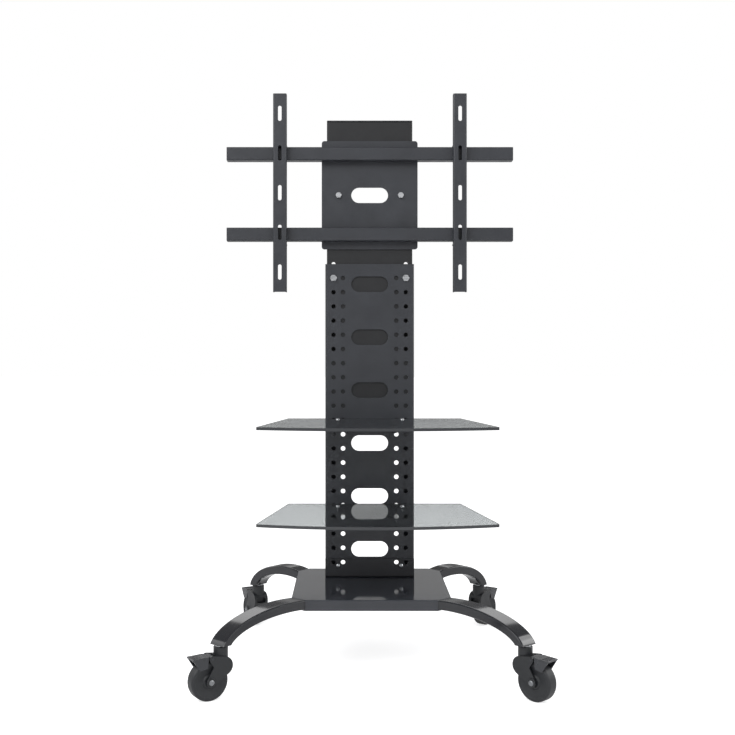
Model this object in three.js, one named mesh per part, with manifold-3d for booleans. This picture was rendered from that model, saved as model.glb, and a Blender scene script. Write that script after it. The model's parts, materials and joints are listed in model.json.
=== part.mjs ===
// Rolling floor stand for a screen, in millimetres. The origin lies on the floor, midway between
// the casters. +X is to the right, +Y to the rear and +Z up, so the shelves point to -Y.
import * as THREE from 'three';
import { mergeVertices } from 'three/addons/utils/BufferGeometryUtils.js';
import Module from 'manifold-3d';

const wasm = await Module();
wasm.setup();

// Running fit between neighbouring pieces, and the overrun of every cutting tool
const gap = 0.3;
const overrun = 2;

// Clearance round a faceted pin whose corners don't line up with its hole's
const turnedClearance = 0.6;

// Where the casters and the column stand
const frontStemX = 291;
const rearStemX = 266;
const stemSpacingY = 557;
const columnSetback = 98.5;

// Sides of the faceted round pieces
const hexSides = 6;
const boltSides = 8;
const pinSides = 12;
const roundSides = 12;
const wheelSides = 24;

// Base plate, a folded tray
const plateTop = 155;
const plateDepth = 22;
const plateWall = 3;
const plateHalfWidth = 165;
const plateFrontReach = 236;
const plateRearReach = 101;

// Legs, bent rectangular tube
const legWidth = 40;
const legThickness = 20;
const legWall = 2;
const legApexSetback = 45;
const legDrop = 56;
const frontApexRise = 14;
const rearApexRise = 16.5;
const legArcSteps = 14;
const legPlugLength = 45;
const tongueWidth = 34;
const tongueHeight = 14;
const tongueLength = 62;
const tongueGrip = 10;

// Leg bolts, put in from below the tray
const legBoltRadius = 4;
const legBoltHeadRadius = 7;
const legBoltHeadHeight = 4;
const legBoltSetback = 34;

// Outer column: a face, two side walls and two rear lips, welded of sheet steel
const sheet = 3;
const columnHalfWidth = 100;
const columnDepth = 50;
const columnTop = 860;
const lipWidth = 28;

// Column holes
const holePitch = 32;
const holeRows = 21;
const firstHoleRow = 188.5;
const holeRadius = 5.2;
const innerHoleX = 60;
const outerHoleX = 81.5;
const screwHoleRadius = 2.8;
const screwHoleX = 71;
const screwRowDrop = 7.2;

// Cable slots
const slotWidth = 83;
const slotHeight = 35;
const slotPitch = 119.3;
const slotRows = 6;
const firstSlotRow = 218;
const slotArcSteps = 3;

// Foot bracket
const footApronHeight = 42;
const footFlangeDepth = 60;
const footCheekHeight = 72;

// Inner mast
const mastBottom = 492;
const mastTop = 1180;
const mastRunningGap = 0.5;
const mastLockRow = 20;
const mastLockSteps = 7;
const mastStepsDown = 1;
const lockBoltRadius = 4;
const lockBoltClearance = 0.4;
const lockBoltHeadRadius = 8;
const lockBoltHeadHeight = 5;
const lockBoltTail = 8;
const capThickness = 4;
const capPlugDepth = 14;

// Shelves
const glassThickness = 6;
const glassShift = 11;
const glassBackHalfWidth = 194;
const glassFrontHalfWidth = 241.5;
const glassCornerDepth = 303;
const glassBow = 38;
const glassArcSteps = 16;
const upperGlassTop = 512.3;
const shelfSpacingRows = 6;
const bracketFlangeHalfWidth = 88;
const bracketFlangeHeight = 38;
const bracketNotchHalfWidth = 47;
const bracketNotchHeight = 12;
const bracketTongueHalfWidth = 55;
const bracketTongueDepth = 215;
const bracketLipHeight = 28;
const bracketLipEndHeight = 10;
const bracketWingHalfWidth = 84;
const bracketWingDepth = 62;
const glassScrewX = 71;
const glassScrewSetback = 46;
const glassScrewTail = 6;
const shelfBoltRadius = 3.6;
const shelfBoltHeadRadius = 5;
const shelfBoltHeadHeight = 2;

// Small pan-head screws
const screwRadius = 2.2;
const screwHeadRadius = 4.4;
const screwHeadHeight = 2.6;
const footScrewTail = 6;

// Rail frame that carries the hook arms
const frameAboveColumn = 33;
const railSpacing = 180;
const railHalfLength = 320;
const railHeight = 30;
const railDepth = 22;
const railSheet = 2.5;
const framePlateHalfWidth = 108;
const framePlateHeight = 244;
const frameBoltX = 70;
const frameBoltRadius = 4;
const frameBoltHeadRadius = 7;
const frameBoltHeadHeight = 5;

// Hook arms
const armX = 200;
const armLength = 440;
const armWidth = 30;
const armDepth = 18;
const armSheet = 2.5;
const armSlotWidth = 8;
const armSlotLength = 34;
const armSlotCount = 5;
const hookThickness = 4;
const hookDrop = 9;
const lockTabDrop = 7;
const lockTabThickness = 3;
const lockTabDepth = 18;
const armScrewRadius = 3;
const armScrewHeadRadius = 9;
const armScrewHeadHeight = 9;

// Casters
const wheelRadius = 37.5;
const wheelWidth = 24;
const wheelEdge = 4;
const hubRadius = 12;
const dishRadius = 20;
const dishDepth = 3;
const trail = 27;
const axleRadius = 4;
const axleHeadRadius = 5.6;
const axleHeadHeight = 2;
const stemRadius = 5.5;
const stemLength = 6;
const collarRadius = 11;
const collarHeight = 1.6;
const kingpinRadius = 5;
const kingpinClearance = 1;
const neckRadius = 14;
const crownRise = 27.5;
const crownRadius = 18;
const recessDepth = 9;
const recessHalfWidth = 11;
const recessHeight = 12;
const forkWall = 4;
const forkSlotClearance = 1;
const wheelClearance = 2.5;
const bossRadius = 9;
const bossHeight = 2;
const earRadius = 6;
const earHeadroom = 16;
const beltSteps = 5;

// Brake pedals
const pedalPivotX = 24;
const pedalHubRadius = 4;
const pedalHubClearance = 1;
const trunnionRadius = 2.5;
const pedalRise = 5.5;
const pedalTipX = 63;
const pedalTipDrop = 1.5;
const pedalThickness = 3.5;
const pedalHalfWidth = 16;
const shoeStart = 9;
const shoeEnd = 22;
const shoeStartDrop = 2.2;
const shoeEndDrop = 4.6;

// Places worked out from the driving sizes
const frontStemY = -stemSpacingY / 2;
const rearStemY = stemSpacingY / 2;
const columnY = columnSetback;
const plateBottom = plateTop - plateDepth;
const slotHalf = wheelWidth / 2 + forkSlotClearance;
const forkHalf = slotHalf + forkWall;
const columnBottom = plateTop + sheet + 2 * gap;
const mountCentre = columnTop + frameAboveColumn + framePlateHeight / 2;
const kingpinBottom = 2 * wheelRadius + kingpinClearance;
const crownHeight = wheelRadius + crownRise;
const pedalPivotZ = 2 * wheelRadius + pedalHubRadius + pedalHubClearance;
const legEndHeight = pedalPivotZ + earRadius + earHeadroom;

const powderCoat = { color: 0x3a3c3f, roughness: 0.42, metalness: 0.35 };
const glossCoat = { color: 0x3b3e41, roughness: 0.16, metalness: 0.35 };
const darkCoat = { color: 0x26272b, roughness: 0.4, metalness: 0.35 };
const zinc = { color: 0xb9bcc0, roughness: 0.3, metalness: 1 };
const smokedGlass = { color: 0x6f7578, roughness: 0.05, metalness: 0 };
const casterPlastic = { color: 0x2c2e31, roughness: 0.5, metalness: 0 };
const tyre = { color: 0x33363a, roughness: 0.6, metalness: 0 };

// Solids and meshes

function solidOf(geometry) {
  geometry.deleteAttribute('normal');
  geometry.deleteAttribute('uv');
  const merged = mergeVertices(geometry);
  const numProp = 3;
  const vertProperties = merged.attributes.position.array;
  const triVerts = new Uint32Array(merged.index.array);
  return new wasm.Manifold(new wasm.Mesh({ numProp, vertProperties, triVerts }));
}

function geometryOf(solid) {
  const mesh = solid.getMesh();
  const geometry = new THREE.BufferGeometry();
  geometry.setAttribute('position', new THREE.BufferAttribute(mesh.vertProperties, mesh.numProp));
  geometry.setIndex(new THREE.BufferAttribute(mesh.triVerts, 1));
  geometry.computeVertexNormals();
  return geometry;
}

function join(solids) {
  return solids.reduce((whole, piece) => whole.add(piece));
}

function cut(body, tools) {
  return tools.reduce((rest, tool) => rest.subtract(tool), body);
}

// A block between two corners
function block(x0, x1, y0, y1, z0, z1) {
  const geometry = new THREE.BoxGeometry(x1 - x0, y1 - y0, z1 - z0);
  geometry.translate((x0 + x1) / 2, (y0 + y1) / 2, (z0 + z1) / 2);
  return solidOf(geometry);
}

// A rod along Y or along Z
function rodY(radius, y0, y1, x, z, sides) {
  const geometry = new THREE.CylinderGeometry(radius, radius, y1 - y0, sides);
  geometry.translate(x, (y0 + y1) / 2, z);
  return solidOf(geometry);
}

function rodZ(radius, z0, z1, x, y, sides) {
  const geometry = new THREE.CylinderGeometry(radius, radius, z1 - z0, sides);
  geometry.rotateX(Math.PI / 2);
  geometry.translate(x, y, (z0 + z1) / 2);
  return solidOf(geometry);
}

// A flat outline given in X and Y, raised from z0 to z1
function raise(points, z0, z1) {
  const shape = new THREE.Shape(points.map(([x, y]) => new THREE.Vector2(x, y)));
  const geometry = new THREE.ExtrudeGeometry(shape, { depth: z1 - z0, bevelEnabled: false });
  geometry.translate(0, 0, z0);
  return solidOf(geometry);
}

// An upright outline given in X and Z, spread from y0 to y1
function spread(points, y0, y1) {
  const shape = new THREE.Shape(points.map(([x, z]) => new THREE.Vector2(x, z)));
  const geometry = new THREE.ExtrudeGeometry(shape, { depth: y1 - y0, bevelEnabled: false });
  geometry.rotateX(Math.PI / 2);
  geometry.translate(0, y1, 0);
  return solidOf(geometry);
}

// Points on an elliptic arc, from one angle to the other
function arc(cx, cz, a, b, from, to, steps) {
  return Array.from({ length: steps + 1 }, (_, i) => {
    const angle = from + (to - from) * i / steps;
    return [cx + a * Math.cos(angle), cz + b * Math.sin(angle)];
  });
}

// A slot with round ends, lying along X
function slotX(width, height, y0, y1, x, z, steps) {
  const r = height / 2;
  const reach = width / 2 - r;
  const right = arc(x + reach, z, r, r, -Math.PI / 2, Math.PI / 2, steps);
  const left = arc(x - reach, z, r, r, Math.PI / 2, 3 * Math.PI / 2, steps);
  return spread([...right, ...left], y0, y1);
}

// A slot with round ends, standing along Z
function slotZ(width, height, y0, y1, x, z, steps) {
  const r = width / 2;
  const reach = height / 2 - r;
  const top = arc(x, z + reach, r, r, 0, Math.PI, steps);
  const bottom = arc(x, z - reach, r, r, Math.PI, 2 * Math.PI, steps);
  return spread([...top, ...bottom], y0, y1);
}

// A round piece turned about Z from a closed profile of radius and height
function turned(profile, sides) {
  const points = profile.map(([r, z]) => new THREE.Vector2(r, z));
  const geometry = new THREE.LatheGeometry([...points, points[0]], sides);
  geometry.rotateX(Math.PI / 2);
  return solidOf(geometry);
}

// A screw along Y, its head in front of the face at y and its shank running to the rear
function screwY(x, z, y, radius, headRadius, headHeight, reach, headSides) {
  const head = rodY(headRadius, y - headHeight, y, x, z, headSides);
  const shank = rodY(radius, y - headHeight / 2, y + reach, x, z, boltSides);
  return head.add(shank);
}

const stand = new THREE.Group();

function addMesh(parent, name, solid, look) {
  const mesh = new THREE.Mesh(geometryOf(solid), new THREE.MeshStandardMaterial(look));
  mesh.name = name;
  parent.add(mesh);
}

// Legs: each runs straight in plan from a cut corner of the plate to its caster

const legs = [
  { name: 'front_left', side: -1, end: -1, casterTurn: 31 },
  { name: 'front_right', side: 1, end: -1, casterTurn: 45 },
  { name: 'rear_left', side: -1, end: 1, casterTurn: 60 },
  { name: 'rear_right', side: 1, end: 1, casterTurn: 52 },
];

function stemPlace(leg) {
  const x = leg.side * (leg.end < 0 ? frontStemX : rearStemX);
  const y = leg.end < 0 ? frontStemY : rearStemY;
  return new THREE.Vector2(x, y);
}

// The plate's corner before it is cut. The cut is square to the leg and as wide, and the leg starts
// at its middle, so a few turns of a loop settle both.
const settlingTurns = 12;

function plateCorner(leg) {
  const reach = leg.end < 0 ? plateFrontReach : plateRearReach;
  return new THREE.Vector2(leg.side * plateHalfWidth, columnY + leg.end * reach);
}

function cornerCut(leg) {
  const size = new THREE.Vector2();
  for (let turn = 0; turn < settlingTurns; turn += 1) {
    const run = stemPlace(leg).sub(cutMiddle(leg, size)).normalize();
    size.set(legWidth * Math.abs(run.y), legWidth * Math.abs(run.x));
  }
  return size;
}

function cutMiddle(leg, size) {
  const corner = plateCorner(leg);
  return new THREE.Vector2(corner.x - leg.side * size.x / 2, corner.y - leg.end * size.y / 2);
}

function legRoot(leg) {
  return cutMiddle(leg, cornerCut(leg));
}

function legRun(leg) {
  return stemPlace(leg).sub(legRoot(leg));
}

// The upright outline of a leg: two concentric ellipse arcs, cut level at the caster
function legArc(leg, offset, start) {
  const length = legRun(leg).length();
  const apex = plateBottom + (leg.end < 0 ? frontApexRise : rearApexRise);
  const centre = apex - legDrop;
  const cutAngle = Math.asin((legEndHeight - centre) / legDrop);
  const a = (length - legApexSetback) / Math.cos(cutAngle) + offset;
  const b = legDrop + offset;
  const endAngle = Math.asin((legEndHeight - centre) / b);
  const startAngle = Math.acos((start - legApexSetback) / a);
  return arc(legApexSetback, centre, a, b, startAngle, endAngle, legArcSteps);
}

function legOutline(leg, inset, start) {
  const outer = legArc(leg, legThickness / 2 - inset, start);
  const inner = legArc(leg, inset - legThickness / 2, start);
  return [...outer, ...inner.reverse()];
}

function tongue(leg, inset, z0) {
  const half = tongueWidth / 2 - inset;
  return block(-tongueLength - overrun, tongueGrip, -half, half, z0 + inset, z0 + tongueHeight - inset);
}

function tongueBottom() {
  return plateTop - plateWall - gap - tongueHeight;
}

function atLeg(leg, solid) {
  const root = legRoot(leg);
  const run = legRun(leg);
  const turn = THREE.MathUtils.radToDeg(Math.atan2(run.y, run.x));
  return solid.rotate([0, 0, turn]).translate([root.x, root.y, 0]);
}

function legSolid(leg) {
  const half = legWidth / 2;
  const length = legRun(leg).length();
  const tube = spread(legOutline(leg, 0, gap), -half, half);
  const root = block(-tongueLength, tongueGrip, -tongueWidth / 2, tongueWidth / 2,
    tongueBottom(), tongueBottom() + tongueHeight);
  const hollow = spread(legOutline(leg, legWall, gap + legWall), legWall - half, half - legWall);
  const stop = block(0, length - legPlugLength, -legWidth, legWidth, 0, plateTop + legWidth);
  const bore = rodZ(stemRadius + turnedClearance, 0, legEndHeight + stemLength + gap, length, 0, boltSides);
  const boltHole = rodZ(legBoltRadius + gap, 0, tongueBottom() + tongueHeight + overrun,
    -legBoltSetback, 0, boltSides);
  const inside = hollow.intersect(stop).add(tongue(leg, legWall, tongueBottom()));
  return atLeg(leg, cut(tube.add(root), [inside, bore, boltHole]));
}

function legBolt(leg) {
  const seat = tongueBottom() - gap;
  const head = rodZ(legBoltHeadRadius, seat - legBoltHeadHeight, seat, -legBoltSetback, 0, hexSides);
  const shank = rodZ(legBoltRadius, seat - legBoltHeadHeight / 2, seat + tongueHeight,
    -legBoltSetback, 0, boltSides);
  return atLeg(leg, head.add(shank));
}

// Base plate: a tray with rims, open below

function plateOutline(inset) {
  const order = [legs[0], legs[1], legs[3], legs[2]];
  return order.flatMap((leg) => {
    const corner = plateCorner(leg);
    const size = cornerCut(leg);
    const slope = size.length();
    const depth = size.x * size.y / slope;
    const share = (depth - inset * (size.x + size.y) / slope + inset) / depth;
    const x = corner.x - leg.side * inset;
    const y = corner.y - leg.end * inset;
    const onEdge = [x - leg.side * size.x * share, y];
    const onSide = [x, y - leg.end * size.y * share];
    const turnsFirst = leg.side * leg.end < 0;
    return turnsFirst ? [onEdge, onSide] : [onSide, onEdge];
  });
}

function basePlate() {
  const tray = raise(plateOutline(0), plateBottom, plateTop);
  const pocket = raise(plateOutline(plateWall), plateBottom - overrun, plateTop - plateWall);
  const ways = legs.map((leg) => atLeg(leg, tongue(leg, -gap, tongueBottom())));
  return cut(tray, [pocket, ...ways]);
}

// Column, foot bracket and mast; these are drawn with the column's front face at y = 0

function channel(halfWidth, y0, y1, z0, z1) {
  const inner = halfWidth - sheet;
  return raise([[-halfWidth, y0], [halfWidth, y0], [halfWidth, y1], [inner, y1], [inner, y0 + sheet],
    [-inner, y0 + sheet], [-inner, y1], [-halfWidth, y1]], z0, z1);
}

function sides(make) {
  return [make(-1), make(1)];
}

function rows(count, first, pitch) {
  return Array.from({ length: count }, (_, k) => first + k * pitch);
}

function column() {
  const body = block(-columnHalfWidth, columnHalfWidth, 0, sheet, columnBottom, columnTop);
  const holes = rows(holeRows, firstHoleRow, holePitch).flatMap((z) =>
    [innerHoleX, outerHoleX].flatMap((x) =>
      sides((side) => rodY(holeRadius, -overrun, sheet + overrun, side * x, z, hexSides))));
  const screws = sides((side) => rodY(screwHoleRadius, -overrun, sheet + overrun,
    side * screwHoleX, firstHoleRow - screwRowDrop, hexSides));
  const slots = rows(slotRows, firstSlotRow, slotPitch).map((z) =>
    slotX(slotWidth, slotHeight, -overrun, sheet + overrun, 0, z, slotArcSteps));
  return cut(body, [...holes, ...screws, ...slots]);
}

function columnWall(side) {
  const x0 = side > 0 ? columnHalfWidth - sheet : -columnHalfWidth;
  return block(x0, x0 + sheet, sheet + gap, columnDepth - sheet - gap, columnBottom, columnTop);
}

function columnLip(side) {
  const x0 = side > 0 ? columnHalfWidth - lipWidth : -columnHalfWidth;
  return block(x0, x0 + lipWidth, columnDepth - sheet, columnDepth, columnBottom, columnTop);
}

function footBracket() {
  const front = -gap - sheet;
  const flangeBottom = plateTop + gap;
  const flangeTop = flangeBottom + sheet;
  const apron = block(-columnHalfWidth, columnHalfWidth, front, -gap, flangeBottom,
    plateTop + footApronHeight);
  const flange = block(-columnHalfWidth, columnHalfWidth, front, footFlangeDepth, flangeBottom, flangeTop);
  const cheekFace = columnHalfWidth - sheet - gap;
  const cheekFront = sheet + gap;
  const cheekRear = columnDepth - sheet - gap;
  const profile = [[cheekFront, flangeTop - sheet / 2], [cheekRear, flangeTop - sheet / 2],
    [cheekRear, flangeTop + sheet], [cheekFront + sheet, flangeTop + footCheekHeight],
    [cheekFront, flangeTop + footCheekHeight]];
  const cheeks = sides((side) => {
    const plate = spread(profile, 0, sheet).rotate([0, 0, 90]);
    return plate.translate([side > 0 ? cheekFace : sheet - cheekFace, 0, 0]);
  });
  const holes = [innerHoleX, outerHoleX].flatMap((x) => sides((side) =>
    rodY(holeRadius, front - overrun, overrun - gap, side * x, firstHoleRow, hexSides)));
  const screws = sides((side) => rodY(screwHoleRadius, front - overrun, overrun - gap,
    side * screwHoleX, firstHoleRow - screwRowDrop, hexSides));
  return cut(join([apron, flange, ...cheeks]), [...holes, ...screws]);
}

function footScrew(side) {
  return screwY(side * screwHoleX, firstHoleRow - screwRowDrop, -sheet - 2 * gap,
    screwRadius, screwHeadRadius, screwHeadHeight, sheet + footScrewTail, boltSides);
}

const mastFront = sheet + mastRunningGap;
const mastHalfWidth = columnHalfWidth - sheet - mastRunningGap;
const mastRear = columnDepth - sheet - mastRunningGap;
const lockRow = firstHoleRow + mastLockRow * holePitch;

function mast() {
  const body = channel(mastHalfWidth, mastFront, mastRear, mastBottom, mastTop);
  const back = mastFront + sheet + overrun;
  const highestLock = lockRow + mastStepsDown * holePitch;
  const locks = rows(mastLockSteps, highestLock, -holePitch).flatMap((z) => sides((side) =>
    rodY(lockBoltRadius + lockBoltClearance, 0, back, side * outerHoleX, z, pinSides)));
  const bolts = sides((side) =>
    rodY(frameBoltRadius + gap, 0, back, side * frameBoltX, mountCentre, boltSides));
  const slot = slotX(slotWidth, slotHeight, 0, back, 0, mountCentre, slotArcSteps);
  return cut(body, [...locks, ...bolts, slot]);
}

function mastCap() {
  const base = mastTop + gap;
  const lid = block(-mastHalfWidth, mastHalfWidth, mastFront, mastRear, base, base + capThickness);
  const reach = mastHalfWidth - sheet - gap;
  const plug = block(-reach, reach, mastFront + sheet + gap, mastRear, mastTop - capPlugDepth,
    base + capThickness / 2);
  return lid.add(plug);
}

function lockBolt(side) {
  return screwY(side * outerHoleX, lockRow, -gap, lockBoltRadius, lockBoltHeadRadius,
    lockBoltHeadHeight, gap + mastFront + sheet + lockBoltTail, hexSides);
}

// Shelves: a sheet of glass on a cantilever bracket

const shelves = [
  { name: 'upper_shelf', top: upperGlassTop },
  { name: 'lower_shelf', top: upperGlassTop - shelfSpacingRows * holePitch },
];

// The photographed panes stand a little to the right of the column
function glass(shelf) {
  const depth = glassCornerDepth;
  const half = glassFrontHalfWidth;
  const radius = (half * half + glassBow * glassBow) / (2 * glassBow);
  const centre = radius - depth - glassBow;
  const spreadAngle = Math.asin(half / radius);
  const bow = arc(0, centre, radius, radius, -Math.PI / 2 - spreadAngle, -Math.PI / 2 + spreadAngle,
    glassArcSteps);
  const outline = [...bow, [glassBackHalfWidth, -gap], [-glassBackHalfWidth, -gap]];
  const pane = raise(outline, shelf.top - glassThickness, shelf.top);
  return cut(pane.translate([glassShift, 0, 0]), glassScrewHoles(shelf));
}

function glassScrewHoles(shelf) {
  return sides((side) => rodZ(screwRadius + gap, bracketTop(shelf) - sheet - overrun,
    shelf.top + overrun, side * glassScrewX, -glassScrewSetback, boltSides));
}

function bracketTop(shelf) {
  return shelf.top - glassThickness - gap;
}

// The lowest row of column holes that the flange of a shelf bracket covers
function boltRow(shelf) {
  const flangeBottom = bracketTop(shelf) - bracketFlangeHeight;
  const step = Math.ceil((flangeBottom + holeRadius - firstHoleRow) / holePitch);
  return firstHoleRow + step * holePitch;
}

function shelfBracket(shelf) {
  const top = bracketTop(shelf);
  const front = -gap - sheet;
  const tip = front - bracketTongueDepth;
  const width = bracketTongueHalfWidth;
  const flange = block(-bracketFlangeHalfWidth, bracketFlangeHalfWidth, front, -gap,
    top - bracketFlangeHeight, top);
  const tray = block(-width, width, tip, -gap, top - sheet, top);
  const wings = block(-bracketWingHalfWidth, bracketWingHalfWidth, -bracketWingDepth, -gap,
    top - sheet, top);
  const lip = [[front / 2, top], [tip, top], [tip, top - bracketLipEndHeight],
    [front / 2, top - bracketLipHeight]];
  const lips = sides((side) => {
    const plate = spread(lip, 0, sheet).rotate([0, 0, 90]);
    return plate.translate([side > 0 ? width : sheet - width, 0, 0]);
  });
  const holes = [[innerHoleX, holeRadius, hexSides], [outerHoleX, shelfBoltRadius + gap, boltSides]]
    .flatMap(([x, radius, facets]) => sides((side) =>
      rodY(radius, front - overrun, overrun - gap, side * x, boltRow(shelf), facets)));
  const floor = top - bracketFlangeHeight;
  const notch = block(-bracketNotchHalfWidth, bracketNotchHalfWidth, front - overrun, overrun - gap,
    floor - overrun, floor + bracketNotchHeight);
  return cut(join([flange, tray, wings, ...lips]), [...holes, notch, ...glassScrewHoles(shelf)]);
}

// The shelf bolts end level with the inside of the column, short of the mast
function shelfBolt(shelf, side) {
  return screwY(side * outerHoleX, boltRow(shelf), -sheet - 2 * gap, shelfBoltRadius,
    shelfBoltHeadRadius, shelfBoltHeadHeight, 2 * sheet + 2 * gap, boltSides);
}

// The glass screws stand upright, through the glass and the bracket's wings
function glassScrew(shelf, side) {
  const seat = shelf.top + gap;
  const x = side * glassScrewX;
  const head = rodZ(screwHeadRadius, seat, seat + screwHeadHeight, x, -glassScrewSetback, boltSides);
  const shank = rodZ(screwRadius, bracketTop(shelf) - sheet - glassScrewTail, seat + screwHeadHeight / 2,
    x, -glassScrewSetback, boltSides);
  return head.add(shank);
}

// Rail frame and hook arms

const frameBack = mastFront - gap;
const frameFront = frameBack - sheet;
const railFront = frameFront - railDepth;
const railRows = [mountCentre - railSpacing / 2, mountCentre + railSpacing / 2];

function rail(z) {
  const top = z + railHeight / 2;
  const bottom = z - railHeight / 2;
  const web = block(-railHalfLength, railHalfLength, railFront, railFront + railSheet, bottom, top);
  const upper = block(-railHalfLength, railHalfLength, railFront, frameBack, top - railSheet, top);
  const lower = block(-railHalfLength, railHalfLength, railFront, frameBack, bottom, bottom + railSheet);
  return join([web, upper, lower]);
}

function railFrame() {
  const half = framePlateHeight / 2;
  const plate = block(-framePlateHalfWidth, framePlateHalfWidth, frameFront, frameBack,
    mountCentre - half, mountCentre + half);
  const bolts = sides((side) => rodY(frameBoltRadius + gap, frameFront - overrun,
    frameBack + overrun, side * frameBoltX, mountCentre, boltSides));
  const slot = slotX(slotWidth, slotHeight, frameFront - overrun, frameBack + overrun, 0, mountCentre,
    slotArcSteps);
  return cut(join([plate, ...railRows.map(rail)]), [...bolts, slot]);
}

function frameBolt(side) {
  return screwY(side * frameBoltX, mountCentre, frameFront - gap, frameBoltRadius, frameBoltHeadRadius, frameBoltHeadHeight,
    gap + 2 * sheet + 2 * gap + frameBoltRadius, hexSides);
}

function hookArm(side) {
  const x = side * armX;
  const x0 = x - armWidth / 2;
  const x1 = x + armWidth / 2;
  const z0 = mountCentre - armLength / 2;
  const z1 = mountCentre + armLength / 2;
  const back = railFront - gap;
  const front = back - armDepth;
  const web = block(x0, x1, front, front + armSheet, z0, z1);
  const walls = [x0, x1 - armSheet].map((x2) => block(x2, x2 + armSheet, front, back, z0, z1));
  const railTop = railRows[1] + railHeight / 2;
  const hookBase = railTop + gap;
  const over = block(x0, x1, front, frameBack + gap + hookThickness, hookBase, hookBase + hookThickness);
  const nose = block(x0, x1, frameBack + gap, frameBack + gap + hookThickness, railTop - hookDrop,
    hookBase + hookThickness);
  const tabTop = railRows[0] - railHeight / 2 - lockTabDrop;
  const tab = block(x0, x1, front, back + lockTabDepth, tabTop - lockTabThickness, tabTop);
  const screwHole = rodZ(armScrewRadius + gap, tabTop - lockTabThickness - overrun, tabTop + overrun,
    x, railFront + lockTabDepth / 2, boltSides);
  const pitch = armLength / armSlotCount;
  const slots = rows(armSlotCount, z0 + pitch / 2, pitch).map((z) =>
    slotZ(armSlotWidth, armSlotLength, front - overrun, front + armSheet + overrun, x, z, slotArcSteps));
  return cut(join([web, ...walls, over, nose, tab]), [...slots, screwHole]);
}

function armScrew(side) {
  const tip = railRows[0] - railHeight / 2 - gap;
  const headTop = tip - lockTabDrop - lockTabThickness;
  const x = side * armX;
  const y = railFront + lockTabDepth / 2;
  const head = rodZ(armScrewHeadRadius, headTop - armScrewHeadHeight, headTop, x, y, boltSides);
  const shank = rodZ(armScrewRadius, headTop - armScrewHeadHeight / 2, tip, x, y, boltSides);
  return head.add(shank);
}

// Casters: drawn about their stem, trailing to -X

function casterStem() {
  const seat = legEndHeight - gap;
  return turned([[0, kingpinBottom], [kingpinRadius, kingpinBottom],
    [kingpinRadius, seat - collarHeight], [collarRadius, seat - collarHeight], [collarRadius, seat],
    [stemRadius, seat], [stemRadius, legEndHeight + stemLength], [0, legEndHeight + stemLength]], boltSides);
}

function casterWheel() {
  const half = wheelWidth / 2;
  const bore = axleRadius + gap;
  // The flats, not the corners, of the faceted tread touch the floor
  const tread = wheelRadius / Math.cos(Math.PI / wheelSides);
  const profile = [[bore, -half], [hubRadius, -half], [dishRadius, dishDepth - half],
    [tread - wheelEdge, -half], [tread, wheelEdge - half], [tread, half - wheelEdge],
    [tread - wheelEdge, half], [dishRadius, half - dishDepth], [hubRadius, half], [bore, half]];
  const flatDown = 180 / wheelSides;
  return turned(profile, wheelSides).rotate([0, 0, flatDown]).rotate([90, 0, 0])
    .translate([-trail, 0, wheelRadius]);
}

function casterAxle() {
  const seat = forkHalf + bossHeight + gap;
  const pin = rodY(axleRadius, -seat - axleHeadHeight / 2, seat + axleHeadHeight / 2, -trail,
    wheelRadius, boltSides);
  const heads = sides((side) => rodY(axleHeadRadius, side > 0 ? seat : -seat - axleHeadHeight,
    side > 0 ? seat + axleHeadHeight : -seat, -trail, wheelRadius, boltSides));
  return join([pin, ...heads]);
}

// The outline round two discs, as a belt lies round two pulleys
function belt(x0, z0, r0, x1, z1, r1, steps) {
  const line = Math.atan2(z1 - z0, x1 - x0);
  const tilt = Math.acos((r0 - r1) / Math.hypot(x1 - x0, z1 - z0));
  const first = arc(x0, z0, r0, r0, line + tilt, line + 2 * Math.PI - tilt, steps);
  const second = arc(x1, z1, r1, r1, line - tilt, line + tilt, steps);
  return [...first, ...second];
}

function casterFork() {
  const neck = rodZ(neckRadius, crownHeight, legEndHeight - collarHeight - 2 * gap, 0, 0, roundSides);
  const cheek = belt(0, crownHeight, crownRadius, -trail, wheelRadius, bossRadius, beltSteps);
  const ear = belt(0, crownHeight, crownRadius, -pedalPivotX, pedalPivotZ, earRadius, beltSteps);
  const body = spread(cheek, -forkHalf, forkHalf);
  const ears = spread(ear, -forkHalf, forkHalf);
  const bosses = rodY(bossRadius, -forkHalf - bossHeight, forkHalf + bossHeight, -trail, wheelRadius,
    roundSides);
  const wheelWay = rodY(wheelRadius + wheelClearance, -slotHalf, slotHalf, -trail, wheelRadius, roundSides);
  const pedalWay = block(-pedalTipX, -crownRadius + sheet, -slotHalf, slotHalf, 0, legEndHeight);
  const axleHole = rodY(axleRadius + gap, -forkHalf - legWidth, forkHalf + legWidth, -trail,
    wheelRadius, boltSides);
  const pivotHole = rodY(trunnionRadius + gap, -forkHalf - legWidth, forkHalf + legWidth,
    -pedalPivotX, pedalPivotZ, boltSides);
  const kingpinHole = rodZ(kingpinRadius + turnedClearance, wheelRadius, legEndHeight, 0, 0, boltSides);
  const recess = block(crownRadius - recessDepth, crownRadius + overrun, -recessHalfWidth,
    recessHalfWidth, crownHeight - recessHeight / 2, crownHeight + recessHeight / 2);
  return cut(join([neck, body, ears, bosses]),
    [wheelWay, pedalWay, axleHole, pivotHole, kingpinHole, recess]);
}

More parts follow.
